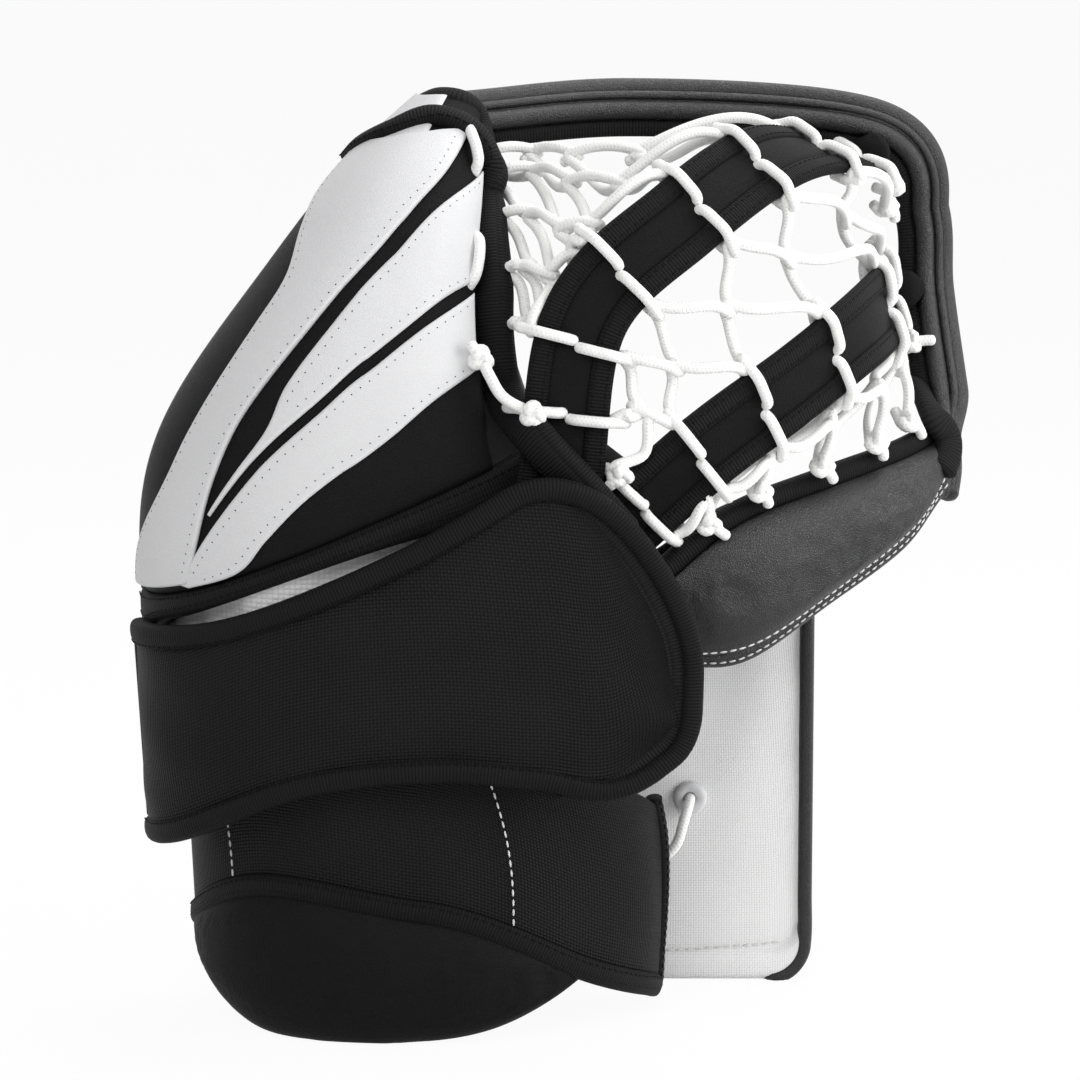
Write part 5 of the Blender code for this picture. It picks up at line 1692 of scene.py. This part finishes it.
class GloveLook(bpy.types.PropertyGroup):
    """Sizes and colours of the glove's finishes."""

    lace_diameter: FloatProperty(name="Lace", description="Thickness of the pocket lace", default=0.0050,
                                 unit="LENGTH")
    black_leather: FloatVectorProperty(name="Black leather", description="Colour of rolls and pads", size=3,
                                       default=(0.005, 0.005, 0.0054), subtype="COLOR")
    black_nylon: FloatVectorProperty(name="Black nylon", description="Colour of black cloth and tape",
                                     size=3, default=(0.007, 0.007, 0.0075), subtype="COLOR")
    white_leather: FloatVectorProperty(name="White leather", description="Colour of the overlays", size=3,
                                       default=(0.62, 0.62, 0.63), subtype="COLOR")
    white_nylon: FloatVectorProperty(name="White nylon", description="Colour of cuff board and liner",
                                     size=3, default=(0.88, 0.88, 0.88), subtype="COLOR")
    white_lace: FloatVectorProperty(name="White lace", description="Colour of lace and white thread",
                                    size=3, default=(0.84, 0.84, 0.83), subtype="COLOR")
    ambient: FloatProperty(name="Ambient", description="Strength of the even light", default=0.25)
    key_light: FloatProperty(name="Key light", description="Power of the main lamp", default=34.0,
                             unit="POWER")


def make_all_stitches():
    tree, names = make_stitch_tree()
    for (body, thread), runs in SEAMS.items():
        make_stitches(body, thread, runs, tree, names)


class GLOVE_OT_stage(bpy.types.Operator):
    """Make the floor, lamps, world and camera"""

    bl_idname = "glove.stage"
    bl_label = "Stage"

    def execute(self, context):
        make_stage()
        return {"FINISHED"}


class GLOVE_OT_finishes(bpy.types.Operator):
    """Make the leather, cloth, tape and lace materials"""

    bl_idname = "glove.finishes"
    bl_label = "Finishes"

    def execute(self, context):
        make_finishes()
        return {"FINISHED"}


class GLOVE_OT_cuff(bpy.types.Operator):
    """Make the cuff board, its edge, eyelet and lace"""

    bl_idname = "glove.cuff"
    bl_label = "Cuff board"

    def execute(self, context):
        make_cuff()
        return {"FINISHED"}


class GLOVE_OT_finger_panel(bpy.types.Operator):
    """Make the finger panel, its overlays and bindings"""

    bl_idname = "glove.finger_panel"
    bl_label = "Finger panel"

    def execute(self, context):
        make_finger_panel()
        return {"FINISHED"}


class GLOVE_OT_liner(bpy.types.Operator):
    """Make the hand liner and the finger dividers"""

    bl_idname = "glove.liner"
    bl_label = "Liner"

    def execute(self, context):
        make_liner()
        return {"FINISHED"}


class GLOVE_OT_wrist(bpy.types.Operator):
    """Make the wrist band and the wrist pad"""

    bl_idname = "glove.wrist"
    bl_label = "Wrist"

    def execute(self, context):
        make_wrist()
        return {"FINISHED"}


class GLOVE_OT_strap(bpy.types.Operator):
    """Make the wrist strap with its binding and hinge"""

    bl_idname = "glove.strap"
    bl_label = "Wrist strap"

    def execute(self, context):
        make_wrist_strap()
        return {"FINISHED"}


class GLOVE_OT_pocket(bpy.types.Operator):
    """Make the T-straps and the laced nets"""

    bl_idname = "glove.pocket"
    bl_label = "Pocket"

    def execute(self, context):
        make_pocket()
        return {"FINISHED"}


class GLOVE_OT_rim(bpy.types.Operator):
    """Make the rolled rim of the pocket"""

    bl_idname = "glove.rim"
    bl_label = "Rim"

    def execute(self, context):
        make_rim()
        return {"FINISHED"}


class GLOVE_OT_thumb(bpy.types.Operator):
    """Make the thumb pad, its stall and its edges"""

    bl_idname = "glove.thumb"
    bl_label = "Thumb"

    def execute(self, context):
        make_thumb()
        return {"FINISHED"}


class GLOVE_OT_catching(bpy.types.Operator):
    """Make the palm and the finger face"""

    bl_idname = "glove.catching"
    bl_label = "Catching side"

    def execute(self, context):
        make_catching_side()
        return {"FINISHED"}


class GLOVE_OT_stitches(bpy.types.Operator):
    """Make the stitches and needle holes along the seams"""

    bl_idname = "glove.stitches"
    bl_label = "Stitches"

    def execute(self, context):
        make_all_stitches()
        return {"FINISHED"}


OPERATORS = [
    GLOVE_OT_stage,
    GLOVE_OT_finishes,
    GLOVE_OT_cuff,
    GLOVE_OT_finger_panel,
    GLOVE_OT_liner,
    GLOVE_OT_wrist,
    GLOVE_OT_strap,
    GLOVE_OT_pocket,
    GLOVE_OT_rim,
    GLOVE_OT_thumb,
    GLOVE_OT_catching,
    GLOVE_OT_stitches,
]


class GLOVE_PT_looks(bpy.types.Panel):
    """Lists the glove's pieces and the values of its finishes."""

    bl_label = "Catch glove"
    bl_idname = "GLOVE_PT_looks"
    bl_space_type = "VIEW_3D"
    bl_region_type = "UI"
    bl_category = "Glove"

    def draw(self, context):
        for name in GloveLook.__annotations__:
            self.layout.prop(context.scene.glove_look, name)
        for kind in OPERATORS:
            self.layout.operator(kind.bl_idname)


CLASSES = [GloveLook, *OPERATORS, GLOVE_PT_looks]


def register():
    for kind in CLASSES:
        bpy.utils.register_class(kind)
    bpy.types.Scene.glove_look = PointerProperty(type=GloveLook)


def unregister():
    del bpy.types.Scene.glove_look
    for kind in reversed(CLASSES):
        bpy.utils.unregister_class(kind)


def main():
    register()
    for kind in OPERATORS:
        name = kind.bl_idname.split(".")[1]
        getattr(bpy.ops.glove, name)()


if __name__ == "__main__":
    main()
